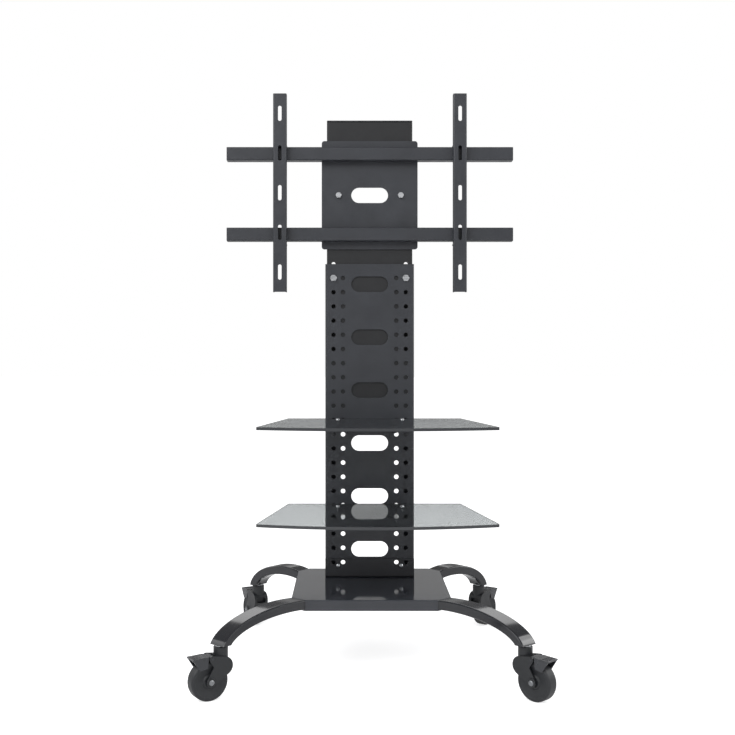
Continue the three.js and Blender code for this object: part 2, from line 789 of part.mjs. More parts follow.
function brakePedal() {
  const inside = slotHalf - 2 * gap;
  const x = -pedalPivotX;
  const z = pedalPivotZ;
  const top = z + pedalRise;
  const inner = x + pedalHubRadius;
  const hub = rodY(pedalHubRadius, -inside, inside, x, z, boltSides);
  const trunnions = rodY(trunnionRadius, -forkHalf, forkHalf, x, z, boltSides);
  const neck = spread([[inner, top], [inner, z], [x - shoeStart, z - shoeStartDrop],
    [x - shoeEnd, z - shoeEndDrop], [x - shoeEnd, top - pedalTipDrop]], -inside, inside);
  const wideFrom = x - earRadius - 2 * gap;
  const tip = [[-pedalTipX, top - pedalTipDrop - pedalThickness], [-pedalTipX, top - pedalTipDrop]];
  const blade = spread([[wideFrom, top], [wideFrom, top - pedalThickness], ...tip],
    -pedalHalfWidth, pedalHalfWidth);
  return join([hub, trunnions, neck, blade]);
}

// Assembly

const tower = new THREE.Group();
tower.position.y = columnY;

addMesh(stand, 'base_plate', basePlate(), glossCoat);
for (const leg of legs) {
  addMesh(stand, `leg_${leg.name}`, legSolid(leg), powderCoat);
  addMesh(stand, `leg_bolt_${leg.name}`, legBolt(leg), zinc);
}

addMesh(tower, 'foot_bracket', footBracket(), darkCoat);
addMesh(tower, 'outer_column', column(), powderCoat);
addMesh(tower, 'inner_mast', mast(), powderCoat);
addMesh(tower, 'mast_cap', mastCap(), casterPlastic);
for (const side of [-1, 1]) {
  const hand = side < 0 ? 'left' : 'right';
  addMesh(tower, `column_wall_${hand}`, columnWall(side), powderCoat);
  addMesh(tower, `column_lip_${hand}`, columnLip(side), powderCoat);
  addMesh(tower, `frame_bolt_${hand}`, frameBolt(side), zinc);
  addMesh(tower, `foot_screw_${hand}`, footScrew(side), zinc);
  addMesh(tower, `mast_lock_bolt_${hand}`, lockBolt(side), zinc);
  addMesh(tower, `hook_arm_${hand}`, hookArm(side), powderCoat);
  addMesh(tower, `arm_lock_screw_${hand}`, armScrew(side), casterPlastic);
}

for (const shelf of shelves) {
  addMesh(tower, `${shelf.name}_glass`, glass(shelf), smokedGlass);
  addMesh(tower, `${shelf.name}_bracket`, shelfBracket(shelf), powderCoat);
  for (const side of [-1, 1]) {
    const hand = side < 0 ? 'left' : 'right';
    addMesh(tower, `${shelf.name}_bolt_${hand}`, shelfBolt(shelf, side), darkCoat);
    addMesh(tower, `${shelf.name}_glass_screw_${hand}`, glassScrew(shelf, side), zinc);
  }
}

addMesh(tower, 'rail_frame', railFrame(), powderCoat);
stand.add(tower);

// Each caster trails outward, away from the middle of the stand
for (const leg of legs) {
  const place = stemPlace(leg);
  const angle = leg.side < 0 ? -leg.end * leg.casterTurn : 180 + leg.end * leg.casterTurn;
  const caster = new THREE.Group();
  caster.position.set(place.x, place.y, 0);
  caster.rotation.z = THREE.MathUtils.degToRad(angle);
  addMesh(caster, `caster_stem_${leg.name}`, casterStem(), zinc);
  addMesh(caster, `caster_fork_${leg.name}`, casterFork(), casterPlastic);
  addMesh(caster, `caster_wheel_${leg.name}`, casterWheel(), tyre);
  addMesh(caster, `caster_axle_${leg.name}`, casterAxle(), zinc);
  addMesh(caster, `brake_pedal_${leg.name}`, brakePedal(), casterPlastic);
  stand.add(caster);
}

export default stand;
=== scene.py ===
# Looks of the rolling stand. Pieces are drawn in millimetres and turned into metres when they are
# put in place. The stage is set in metres. +X is to the right, +Y to the rear and +Z up.
import json
import math

import bmesh
import bpy
from mathutils import Matrix, Vector

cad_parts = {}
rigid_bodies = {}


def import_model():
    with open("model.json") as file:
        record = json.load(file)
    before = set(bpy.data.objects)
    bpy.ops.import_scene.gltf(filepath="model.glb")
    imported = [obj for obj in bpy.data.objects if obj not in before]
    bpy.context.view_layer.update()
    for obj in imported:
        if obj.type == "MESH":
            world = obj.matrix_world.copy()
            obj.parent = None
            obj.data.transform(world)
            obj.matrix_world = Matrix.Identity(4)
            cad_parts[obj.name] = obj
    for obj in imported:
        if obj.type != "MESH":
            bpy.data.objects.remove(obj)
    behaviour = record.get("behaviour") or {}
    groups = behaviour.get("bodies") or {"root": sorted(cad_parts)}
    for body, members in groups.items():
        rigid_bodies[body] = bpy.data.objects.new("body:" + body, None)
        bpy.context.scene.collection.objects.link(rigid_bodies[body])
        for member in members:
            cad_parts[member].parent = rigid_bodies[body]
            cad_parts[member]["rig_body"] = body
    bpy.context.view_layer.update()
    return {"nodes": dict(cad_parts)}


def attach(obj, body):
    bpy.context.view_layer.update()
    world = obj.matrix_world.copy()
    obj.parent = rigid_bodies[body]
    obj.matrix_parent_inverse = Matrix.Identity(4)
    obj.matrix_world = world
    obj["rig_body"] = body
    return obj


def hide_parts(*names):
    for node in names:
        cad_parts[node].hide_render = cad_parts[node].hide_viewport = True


METRES = 0.001

# Places shared with the solids
COLUMN_Y = 98.5
STEM_Y = 278.5
FRONT_STEM_X = 291
REAR_STEM_X = 266
GAP = 0.3

# How far cutting tools pass a surface and joined pieces overlap, and small steps that keep their
# faces from coinciding
OVERRUN = 2
OVERLAP = 1
SINK = 0.05
SLIVER = 0.01
HAIR = 0.001

# Roundness of sheet edges and drilled holes, and the angles that count as level and as smooth
LEVEL_ANGLE = math.radians(0.6)
SMOOTH_ANGLE = math.radians(32)
EDGE_ROUND = 0.35
HOLE_STEPS = 28
BOLT_HOLE_STEPS = 24
SCREW_HOLE_STEPS = 20

# Base plate and legs
PLATE_TOP = 155
PLATE_DEPTH = 22
PLATE_WALL = 3
PLATE_HALF = 165
PLATE_FRONT = 236
PLATE_REAR = 101
PLATE_ROUND = 2.6
PLATE_CORNER = 2.5
POCKET_CORNER = 1.5
LEG_WIDTH = 40
LEG_THICK = 20
LEG_END = 102
LEG_APEX_SETBACK = 45
LEG_DROP = 56
FRONT_APEX_RISE = 14
REAR_APEX_RISE = 16.5
LEG_ROUND = 3
LEG_STEPS = 56
TONGUE_WIDTH = 34
TONGUE_HEIGHT = 14
TONGUE_LENGTH = 62
TONGUE_ROUND = 1.5
TONGUE_IN_LEG = 4
TONGUE_WAY = 10
LEG_BOLT_SETBACK = 34

# Column and mast
SHEET = 3
COLUMN_HALF = 100
COLUMN_DEPTH = 50
COLUMN_BOTTOM = 158.6
COLUMN_TOP = 860
LIP = 28
LIP_ROUND = 0.6
BEND = 4.2
HOLE_PITCH = 32
FIRST_HOLE = 188.5
HOLE_ROWS = 21
HOLE_RADIUS = 5.2
INNER_HOLE = 60
OUTER_HOLE = 81.5
SCREW_HOLE_RADIUS = 2.8
SCREW_HOLE_X = 71
SCREW_ROW_DROP = 7.2
SLOT_WIDTH = 83
SLOT_HEIGHT = 35
SLOT_PITCH = 119.3
SLOT_ROWS = 6
FIRST_SLOT = 218
MAST_BOTTOM = 492
MAST_TOP = 1180
MAST_FRONT = 3.5
MAST_HALF = 96.5
MAST_REAR = 46.5
LOCK_ROW = 828.5
LOCK_STEPS = 7
LOCK_HOLE = 4.4
CAP_HEIGHT = 4
CAP_ROUND = 1.6
CAP_PLUG_DEPTH = 14

# Foot bracket
APRON_TOP = 197
FLANGE_BOTTOM = 155.3
FLANGE_DEPTH = 60
CHEEK_TOP = 230.3
CHEEK_FACE = 96.7
FOOT_BEND = 3.4

# Shelves
GLASS = 6
GLASS_SHIFT = 11
GLASS_BACK_HALF = 194
GLASS_FRONT_HALF = 241.5
GLASS_CORNER = 303
GLASS_BOW = 38
GLASS_FRONT_ROUND = 4
GLASS_BACK_ROUND = 3
GLASS_EDGE_ROUND = 0.7
SHELF_TOPS = {"upper_shelf": 512.3, "lower_shelf": 320.3}
BRACKET_HALF = 88
BRACKET_HEIGHT = 38
NOTCH_HALF = 47
NOTCH_HEIGHT = 12
WING_HALF = 84
WING_DEPTH = 62
GLASS_SCREW_X = 71
GLASS_SCREW_Y = -46
GLASS_SCREW_HOLE = 2.5
BRACKET_BOLT_HOLE = 3.9
HEAD_SEAT = -3.6
SMALL_SCREW = {"radius": 2.2, "head_radius": 4.4, "head_height": 2.6}
TRAY_HALF = 55
TRAY_DEPTH = 215
TRAY_LIP = 28
TRAY_LIP_END = 10

# Rails and hook arms
MOUNT_CENTRE = 1015
RAIL_ROWS = (925, 1105)
RAIL_HALF = 320
RAIL_HEIGHT = 30
RAIL_SHEET = 2.5
RAIL_FRONT = -21.8
RAIL_BEND = 3.6
FRAME_FRONT = 0.2
FRAME_BACK = 3.2
FRAME_HALF = 108
FRAME_RISE = 122
FRAME_CORNER = 6
FRAME_BOLT_X = 70
FRAME_BOLT_HOLE = 4.3
FRAME_BOLT_SEAT = -0.1
ARM_X = 200
ARM_HALF = 15
ARM_FRONT = -40.1
ARM_BACK = -22.1
ARM_SHEET = 2.5
ARM_BEND = 3.4
ARM_BOTTOM = 795
ARM_TOP = 1235
ARM_SLOT_PITCH = 88
ARM_SLOTS = 5
ARM_SLOT_WIDTH = 8
ARM_SLOT_HEIGHT = 34
HOOK = 4
HOOK_GRIP = 9.3
HOOK_INSET = 0.4
HOOK_ROUNDS = [0, 0.6, 0.6, 1.2, 3, 0]
TAB_DROP = 7
TAB_THICK = 3
TAB_REACH = 18
ARM_SCREW_Y = RAIL_FRONT + 9
ARM_SCREW_HOLE = 3.3
ARM_SCREW_RADIUS = 3
KNOB_DROP = 10
KNOB_ROUND = 1
KNOB_RADIUS = 8.2
KNOB_WAVE = 0.8
KNOB_LOBES = 8
KNOB_HEIGHT = 9
KNOB_STEPS = 96

# Casters
WHEEL_RADIUS = 37.5
WHEEL_HALF = 12
WHEEL_SHOULDER = 4
WHEEL_CLEARANCE = 2.5
WHEEL_STEPS = 96
TRAIL = 27
FORK_HALF = 17
SLOT_HALF = 13
CROWN_HEIGHT = 65
CROWN_RADIUS = 18
FORK_ROUND = 2.4
NECK_RADIUS = 14
BOSS_RADIUS = 9
BOSS_REACH = 19
EAR_RADIUS = 6
PIVOT_X = 24
PIVOT_Z = 80
PEDAL_TOP = 85.5
TIP_X = 63
TIP_DROP = 1.5
BLADE_ROOT = -PIVOT_X - EAR_RADIUS - 2 * GAP
BLADE_THICK = 3.5
BLADE_HALF = 16
BLADE_ROUND = 0.9
HUB_RADIUS = 4
TRUNNION_RADIUS = 2.5
SKIRT_NEAR = 13.5
SKIRT_FAR = 15.6
RIB_PLACES = (-47, -51, -55, -59)
RIB_HALF_WIDTH = 0.8
RIB_HALF_LENGTH = 11.5
RIB_RISE = 0.5
RIB_SINK = 0.6
COLLAR = 1.6
COLLAR_RADIUS = 11
COLLAR_BEVEL = 0.4
KINGPIN_RADIUS = 5
KINGPIN_LOW = 76
PLUG_RADIUS = 5.5
PLUG_RISE = 6
AXLE_RADIUS = 4
AXLE_HEAD_RADIUS = 5.6
AXLE_HOLE = 4.3
PIVOT_HOLE = 2.8
STEM_HOLE = 5.6
RECESS_HALF = 11
RECESS_RISE = 6
RECESS_DEPTH = 9

# Places of the casters, and how far each is turned, in degrees
LEGS = {"front_left": (-1, -1), "front_right": (1, -1), "rear_left": (-1, 1), "rear_right": (1, 1)}
CASTER_TURNS = {"front_left": 31, "front_right": 45, "rear_left": 60, "rear_right": 52}
HANDS = ((-1, "left"), (1, "right"))

# Camera, light and floor, with places in metres
CAMERA_PLACE = (-0.042, -2.380, 0.655)
CAMERA_LENS = 53.88
CAMERA_SENSOR = 36
CAMERA_SHIFT = (0.0224, -0.017)
CAMERA_REACH = 100
WHITE = (1, 1, 1, 1)
ROOM_LIGHT = (0.62, 0.62, 0.63, 1)
ROOM_GLOSS = 3
ROOM_STOPS = ((0.0, 0.085), (0.06, 0.094), (0.14, 0.13), (0.245, 0.17), (0.262, 0.36), (0.585, 0.8),
              (0.6, 0.09), (1.0, 0.1))
FLOOR_HALF = 30
FLOOR_GREY = 0.86
FLOOR_LIFT = 0.69
FLOOR_LIFT_IN_GLOSS = 0.34
CLOTH_BANDS = ((0, 0.33), (0.46, 0.72))
CLOTH_HALF = 2.5
CLOTH_Y = 1.2
CLOTH_GLOW = 0.2

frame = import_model()


# Mesh building, in millimetres

def to_object(bm):
    bmesh.ops.recalc_face_normals(bm, faces=bm.faces[:])
    mesh = bpy.data.meshes.new("piece")
    bm.to_mesh(mesh)
    bm.free()
    piece = bpy.data.objects.new("piece", mesh)
    bpy.context.scene.collection.objects.link(piece)
    return piece


def prism(points, low, high, axis="z"):
    """A flat outline spread along an axis: (x, y) for z, (x, z) for y, (y, z) for x."""
    place = {"z": lambda a, b, c: (a, b, c), "y": lambda a, b, c: (a, c, b),
             "x": lambda a, b, c: (c, a, b)}[axis]
    bm = bmesh.new()
    near = [bm.verts.new(place(a, b, low)) for a, b in points]
    far = [bm.verts.new(place(a, b, high)) for a, b in points]
    bm.faces.new(near[::-1])
    bm.faces.new(far)
    for i in range(len(points)):
        j = (i + 1) % len(points)
        bm.faces.new((near[i], near[j], far[j], far[i]))
    return to_object(bm)


def block(x0, x1, y0, y1, z0, z1):
    return prism([(x0, y0), (x1, y0), (x1, y1), (x0, y1)], z0, z1)


def arc(cx, cy, a, b, start, end, steps):
    turns = [start + (end - start) * i / steps for i in range(steps + 1)]
    return [(cx + a * math.cos(t), cy + b * math.sin(t)) for t in turns]


def circle(cx, cy, radius, steps):
    return arc(cx, cy, radius, radius, 0, 2 * math.pi, steps)[:-1]


def rod(radius, low, high, a, b, axis="z", steps=32):
    return prism(circle(a, b, radius, steps), low, high, axis)


def slot_outline(x, z, width, height, steps=14):
    """A slot with round ends along its longer side."""
    r = min(width, height) / 2
    dx = max(width / 2 - r, 0)
    dz = max(height / 2 - r, 0)
    if width > height:
        one = arc(x + dx, z, r, r, -math.pi / 2, math.pi / 2, steps)
        two = arc(x - dx, z, r, r, math.pi / 2, 3 * math.pi / 2, steps)
    else:
        one = arc(x, z + dz, r, r, 0, math.pi, steps)
        two = arc(x, z - dz, r, r, math.pi, 2 * math.pi, steps)
    return one + two


def rounded(points, radii, steps=6, closed=True):
    """The outline with its corners rounded. radii is one number, or one for each corner."""
    count = len(points)
    sizes = radii if isinstance(radii, (list, tuple)) else [radii] * count
    result = []
    for i, (corner, radius) in enumerate(zip(points, sizes)):
        at_end = not closed and i in (0, count - 1)
        if at_end or radius <= 0:
            result.append(corner)
            continue
        p = Vector(corner)
        before = (Vector(points[i - 1]) - p).normalized()
        after = (Vector(points[(i + 1) % count]) - p).normalized()
        half = before.angle(after) / 2
        centre = p + (before + after).normalized() * radius / math.sin(half)
        first = p + before * radius / math.tan(half) - centre
        turn = math.pi - 2 * half
        sense = 1 if before.cross(after) < 0 else -1
        for k in range(steps + 1):
            result.append(tuple(centre + Matrix.Rotation(sense * turn * k / steps, 2) @ first))
    return result


def sheet_section(path, inside, bend):
    """A bent sheet's section between its outer path and its inner one."""
    outer = rounded(path, bend, closed=False)
    inner = rounded(inside, max(bend - SHEET, 0.6), closed=False)
    return outer + inner[::-1]


def lathe(profile, steps, axis="z"):
    """A round piece from a profile of (radius, height) that closes, or ends on the axis."""
    bm = bmesh.new()
    rings = []
    for radius, height in profile:
        if radius == 0:
            rings.append([bm.verts.new((0, 0, height))])
            continue
        rings.append([bm.verts.new((radius * math.cos(t), radius * math.sin(t), height))
                      for t in (2 * math.pi * i / steps for i in range(steps))])
    pairs = list(zip(rings, rings[1:]))
    if len(rings[0]) > 1:
        pairs.append((rings[-1], rings[0]))
    for one, two in pairs:
        for i in range(steps):
            j = (i + 1) % steps
            corners = [one[i % len(one)], one[j % len(one)], two[j % len(two)], two[i % len(two)]]
            bm.faces.new(list(dict.fromkeys(corners)))
    piece = to_object(bm)
    if axis == "y":
        move(piece, Matrix.Rotation(math.pi / 2, 4, "X"))
    return piece


def move(piece, matrix):
    piece.data.transform(matrix)
    return piece


def shift(piece, x, y, z):
    return move(piece, Matrix.Translation((x, y, z)))


def merged(pieces):
    """Several meshes as one, without a boolean."""
    bm = bmesh.new()
    for piece in pieces:
        bm.from_mesh(piece.data)
        bpy.data.objects.remove(piece)
    return to_object(bm)


def combine(base, tool, operation):
    modifier = base.modifiers.new("combine", "BOOLEAN")
    modifier.operation = operation
    modifier.object = tool
    modifier.solver = "MANIFOLD"
    graph = bpy.context.evaluated_depsgraph_get()
    mesh = bpy.data.meshes.new_from_object(base.evaluated_get(graph))
    base.modifiers.clear()
    base.data = mesh
    bpy.data.objects.remove(tool)
    return base


def cut(base, tools):
    return combine(base, merged(tools), "DIFFERENCE")


def join(pieces):
    base = pieces[0]
    for piece in pieces[1:]:
        combine(base, piece, "UNION")
    return base


def soften(piece, width, steps=2, limit=40):
    """Rounds every edge sharper than the limit, in degrees."""
    bm = bmesh.new()
    bm.from_mesh(piece.data)
    bmesh.ops.dissolve_limit(bm, angle_limit=LEVEL_ANGLE, verts=bm.verts[:], edges=bm.edges[:])
    sharp = [e for e in bm.edges if e.is_manifold and e.calc_face_angle(0) > math.radians(limit)]
    bmesh.ops.bevel(bm, geom=sharp, offset=width, segments=steps, profile=0.5, affect="EDGES",
                    clamp_overlap=True)
    bm.to_mesh(piece.data)
    bm.free()
    return piece


def sides(make):
    """The tools or pieces that are made once for each side."""
    return [make(side) for side in (-1, 1)]


def hands(make):
    """Makes and installs a piece on the left and on the right."""
    for side, hand in HANDS:
        make(side, hand)


def between(side, one, two):
    """Two distances from the middle as low and high places on one side."""
    return sorted((side * one, side * two))


# Materials

CLOUD_SCALE = 14
WEAR_SCALE = 45
GRAIN_HEIGHT = 0.0002


def noise(tree, scale, detail, stretch=(1, 1, 1)):
    nodes = tree.nodes
    coords = nodes.new("ShaderNodeTexCoord")
    mapping = nodes.new("ShaderNodeMapping")
    mapping.inputs["Scale"].default_value = stretch
    texture = nodes.new("ShaderNodeTexNoise")
    texture.inputs["Scale"].default_value = scale
    texture.inputs["Detail"].default_value = detail
    tree.links.new(coords.outputs["Object"], mapping.inputs["Vector"])
    tree.links.new(mapping.outputs["Vector"], texture.inputs["Vector"])
    return texture.outputs["Fac"]


def spread(tree, source, low, high):
    node = tree.nodes.new("ShaderNodeMapRange")
    node.inputs["From Min"].default_value = 0.3
    node.inputs["From Max"].default_value = 0.7
    node.inputs["To Min"].default_value = low
    node.inputs["To Max"].default_value = high
    tree.links.new(source, node.inputs["Value"])
    return node.outputs["Result"]


def tinted(tree, source, colour, vary):
    """A colour ramp that strays from the colour by a share either way."""
    ramp = tree.nodes.new("ShaderNodeValToRGB")
    ramp.color_ramp.elements[0].position = 0.35
    ramp.color_ramp.elements[1].position = 0.65
    for element, share in zip(ramp.color_ramp.elements, (1 - vary, 1 + vary)):
        element.color = (*[c * share for c in colour], 1)
    tree.links.new(source, ramp.inputs["Fac"])
    return ramp.outputs["Color"]


def bump(tree, height, distance, strength):
    node = tree.nodes.new("ShaderNodeBump")
    node.inputs["Distance"].default_value = distance
    node.inputs["Strength"].default_value = strength
    tree.links.new(height, node.inputs["Height"])
    return node.outputs["Normal"]


def surface(name, colour, rough, vary=0.08, grain=900, relief=0.2, stretch=(1, 1, 1), **numbers):
    """A principled material with cloudy colour, uneven roughness and a fine grain."""
    material = bpy.data.materials.new(name)
    material.use_nodes = True
    tree = material.node_tree
    shader = tree.nodes["Principled BSDF"]
    cloud = noise(tree, CLOUD_SCALE, 5)
    links = tree.links
    links.new(tinted(tree, cloud, colour, vary), shader.inputs["Base Color"])
    wear = noise(tree, WEAR_SCALE, 4, stretch)
    links.new(spread(tree, wear, *rough), shader.inputs["Roughness"])
    if relief:
        fine = noise(tree, grain, 3, stretch)
        links.new(bump(tree, fine, GRAIN_HEIGHT, relief), shader.inputs["Normal"])
    for socket, value in numbers.items():
        shader.inputs[socket.replace("_", " ")].default_value = value
    return material


def linear(code):
    """A web colour as linear light."""
    parts = [int(code[i:i + 2], 16) / 255 for i in (0, 2, 4)]
    return [c / 12.92 if c <= 0.04045 else ((c + 0.055) / 1.055) ** 2.4 for c in parts]


POWDER = surface("powder_coat_look", linear("323439"), (0.34, 0.44), grain=700, relief=0.35)
LEG_COAT = surface("leg_coat_look", linear("26272b"), (0.07, 0.1), grain=260, relief=0.02)
PLATE_COAT = surface("plate_coat_look", linear("36383e"), (0.06, 0.1), grain=200, relief=0.02)
# The inner mast is drawn near black. This is painted shade, standing for the shade behind the column's
# holes and slots where the mast shows through.
MAST_PAINTED_SHADE = surface("mast_painted_shade_look", linear("121316"), (0.5, 0.62), grain=700, relief=0.35)
# A darker grey than the column's, used for the foot bracket and the shelf bolts.
DARKER_GREY = surface("darker_grey_look", linear("2b2c30"), (0.36, 0.46), grain=700, relief=0.3)
ZINC = surface("zinc_look", linear("c9cbce"), (0.22, 0.36), vary=0.06, grain=500, relief=0.15,
               stretch=(1, 1, 6), Metallic=1.0)
PLASTIC = surface("plastic_look", linear("1e2023"), (0.38, 0.5), vary=0.06, grain=1200, relief=0.25)
AXLE_LOOK = surface("axle_look", linear("85878a"), (0.35, 0.45), vary=0.06, grain=500, relief=0.15,
                    Metallic=1.0)
# The brake pedals are a lighter grey than the fork's black plastic. This is a painted sheen, standing for
# the light the pedal tops reflect.
PEDAL_SHEEN = surface("pedal_painted_sheen_look", linear("323438"), (0.2, 0.3), vary=0.06, grain=1200, relief=0.2)
TREAD = surface("tread_look", linear("232528"), (0.45, 0.6), vary=0.06, grain=800, relief=0.2)
GLASS_LOOK = surface("glass_look", linear("d8dcdd"), (0.0, 0.012), vary=0.01, relief=0,
                     Transmission_Weight=1.0, IOR=1.5)


def absorb(material, colour, density):
    """Gives clear glass its tint, by the depth that light passes through."""
    node = material.node_tree.nodes.new("ShaderNodeVolumeAbsorption")
    node.inputs["Color"].default_value = (*colour, 1)
    node.inputs["Density"].default_value = density
    output = material.node_tree.nodes["Material Output"]
    material.node_tree.links.new(node.outputs["Volume"], output.inputs["Volume"])


absorb(GLASS_LOOK, (0.42, 0.47, 0.47), 18)
# The panes' edge faces get an opaque dark grey. This is painted shade, standing for the dark look of the
# glass seen through its edge.
GLASS_EDGE_SHADE = surface("glass_edge_painted_shade", linear("393b3e"), (0.12, 0.2), vary=0.02, relief=0)
EDGE_STEEPNESS = 0.5


# Putting pieces in place

def flatten_shading(piece):
    """Smooth shading in which the large flat faces keep their own direction."""
    piece.data.shade_smooth()
    piece.data.set_sharp_from_angle(angle=SMOOTH_ANGLE)
    modifier = piece.modifiers.new("flat", "WEIGHTED_NORMAL")
    modifier.keep_sharp = True
    modifier.weight = 100
    graph = bpy.context.evaluated_depsgraph_get()
    mesh = bpy.data.meshes.new_from_object(piece.evaluated_get(graph))
    piece.modifiers.clear()
    piece.data = mesh


def install(piece, node, material):
    """Turns a finished piece into metres and lets it stand for its CAD node."""
    flatten_shading(piece)
    move(piece, Matrix.Scale(METRES, 4))
    piece.name = f"{node}_look"
    piece.data.name = piece.name
    piece.data.materials.clear()
    piece.data.materials.append(material)
    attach(piece, frame["nodes"][node]["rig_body"])
    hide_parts(node)
    return piece


def on_column(piece):
    """Column pieces are drawn with the column's front face at y = 0."""
    return shift(piece, 0, COLUMN_Y, 0)


# Legs and base plate

def stem_place(leg):
    side, end = LEGS[leg]
    return Vector((side * (FRONT_STEM_X if end < 0 else REAR_STEM_X), end * STEM_Y))


def plate_corner(leg):
    side, end = LEGS[leg]
    return Vector((side * PLATE_HALF, COLUMN_Y + end * (PLATE_FRONT if end < 0 else PLATE_REAR)))


def cut_middle(leg, size):
    side, end = LEGS[leg]
    corner = plate_corner(leg)
    return Vector((corner.x - side * size.x / 2, corner.y - end * size.y / 2))


def corner_cut(leg):
    """The size of a plate corner's cut, which is as long as the leg on it is wide."""
    size = Vector((0, 0))
    for _ in range(12):
        run = (stem_place(leg) - cut_middle(leg, size)).normalized()
        size = Vector((LEG_WIDTH * abs(run.y), LEG_WIDTH * abs(run.x)))
    return size


def leg_root(leg):
    return cut_middle(leg, corner_cut(leg))


def at_leg(leg, piece):
    root = leg_root(leg)
    run = stem_place(leg) - root
    turn = Matrix.Rotation(math.atan2(run.y, run.x), 4, "Z")
    return move(piece, Matrix.Translation((root.x, root.y, 0)) @ turn)


def leg_arc(leg, offset):
    length = (stem_place(leg) - leg_root(leg)).length
    rise = FRONT_APEX_RISE if LEGS[leg][1] < 0 else REAR_APEX_RISE
    centre = PLATE_TOP - PLATE_DEPTH + rise - LEG_DROP
    cut_angle = math.asin((LEG_END - centre) / LEG_DROP)
    a = (length - LEG_APEX_SETBACK) / math.cos(cut_angle) + offset
    b = LEG_DROP + offset
    end = math.asin((LEG_END - centre) / b)
    start = math.acos((GAP - LEG_APEX_SETBACK) / a)
    return arc(LEG_APEX_SETBACK, centre, a, b, start, end, LEG_STEPS)


def leg_ring(inner, outer):
    """The rounded section of a leg between a point below and a point above."""
    half = LEG_WIDTH / 2
    square = [(-half, 0), (half, 0), (half, LEG_THICK), (-half, LEG_THICK)]
    ring = rounded(square, LEG_ROUND, 4)
    return [(inner[0] + (outer[0] - inner[0]) * h / LEG_THICK, across,
             inner[1] + (outer[1] - inner[1]) * h / LEG_THICK) for across, h in ring]


def leg_tube(leg):
    lower = leg_arc(leg, -LEG_THICK / 2)
    upper = leg_arc(leg, LEG_THICK / 2)
    bm = bmesh.new()
    rings = [[bm.verts.new(p) for p in leg_ring(i, o)] for i, o in zip(lower, upper)]
    for one, two in zip(rings, rings[1:]):
        for k in range(len(one)):
            j = (k + 1) % len(one)
            bm.faces.new((one[k], one[j], two[j], two[k]))
    bm.faces.new(rings[0][::-1])
    bm.faces.new(rings[-1])
    return to_object(bm)


def tongue_bottom():
    return PLATE_TOP - PLATE_WALL - GAP - TONGUE_HEIGHT


def make_leg(leg):
    tube = leg_tube(leg)
    half = TONGUE_WIDTH / 2
    bottom = tongue_bottom()
    tongue = block(-TONGUE_LENGTH, TONGUE_IN_LEG, -half, half, bottom, bottom + TONGUE_HEIGHT)
    soften(tongue, TONGUE_ROUND)
    piece = join([tube, tongue])
    install(at_leg(leg, piece), f"leg_{leg}", LEG_COAT)
    bolt = hex_bolt(head_radius=7, head_height=4, radius=4, reach=10)
    shift(bolt, -LEG_BOLT_SETBACK, 0, bottom - GAP)
    install(at_leg(leg, bolt), f"leg_bolt_{leg}", ZINC)


def plate_outline(inset):
    """The plate's eight corners, all edges moved inwards by the inset."""
    points = []
    for leg in ("front_left", "front_right", "rear_right", "rear_left"):
        side, end = LEGS[leg]
        size = corner_cut(leg)
        corner = plate_corner(leg)
        depth = size.x * size.y / size.length
        share = (depth - inset * (size.x + size.y) / size.length + inset) / depth
        x = corner.x - side * inset
        y = corner.y - end * inset
        on_edge = (x - side * size.x * share, y)
        on_side = (x, y - end * size.y * share)
        points += [on_edge, on_side] if side * end < 0 else [on_side, on_edge]
    return points


def round_rim(piece, height, width, steps):
    """Rounds the edges that lie level at a height."""
    bm = bmesh.new()
    bm.from_mesh(piece.data)
    rim = [e for e in bm.edges if all(abs(v.co.z - height) < SLIVER for v in e.verts)]
    bmesh.ops.bevel(bm, geom=rim, offset=width, segments=steps, profile=0.5, affect="EDGES")
    bm.to_mesh(piece.data)
    bm.free()
    return piece


def make_plate():
    bottom = PLATE_TOP - PLATE_DEPTH
    tray = prism(rounded(plate_outline(0), PLATE_CORNER, 4), bottom, PLATE_TOP)
    round_rim(tray, PLATE_TOP, PLATE_ROUND, 4)
    inner = rounded(plate_outline(PLATE_WALL), POCKET_CORNER, 3)
    pocket = prism(inner, bottom - OVERRUN, PLATE_TOP - PLATE_WALL)
    cut(tray, [pocket])
    half = TONGUE_WIDTH / 2 + GAP
    low = tongue_bottom() - GAP
    high = low + TONGUE_HEIGHT + 2 * GAP - SINK
    ways = [at_leg(leg, block(-TONGUE_LENGTH, TONGUE_WAY, -half, half, low, high)) for leg in LEGS]
    cut(tray, ways)
    install(tray, "base_plate", PLATE_COAT)


# Screws and bolts

def pan_screw(radius, head_radius, head_height, reach):
    """A button-head screw along Y with a hexagon socket, its head's face towards -Y."""
    crown = arc(0, -head_height, head_radius, head_height, 0, math.pi / 2, 6)
    profile = [(0, reach), (radius, reach), (radius, 0), (head_radius, 0)]
    top = [(r, -(h + head_height)) for r, h in crown[:-1]]
    head = lathe(profile + top + [(0, -head_height)], 28)
    socket = prism(circle(0, 0, head_radius / 2, 6), -head_height - OVERRUN, -head_height / 3)
    screw = cut(head, [socket])
    return move(screw, Matrix.Rotation(-math.pi / 2, 4, "X"))


def hex_bolt(head_radius, head_height, radius, reach):
    """A hexagon bolt along Z: the head below z = 0, its corners chamfered, and the shank above."""
    head = prism(circle(0, 0, head_radius, 6), -head_height, 0)
    face = head_radius * 0.86
    rim = head_radius * 1.02
    slope = head_radius * 0.14
    cone = lathe([(0, -head_height), (face, -head_height), (rim, slope - head_height),
                  (rim, OVERRUN), (0, OVERRUN)], 48)
    combine(head, cone, "INTERSECT")
    shank = rod(radius, -head_height / 2, reach, 0, 0)
    return join([head, shank])


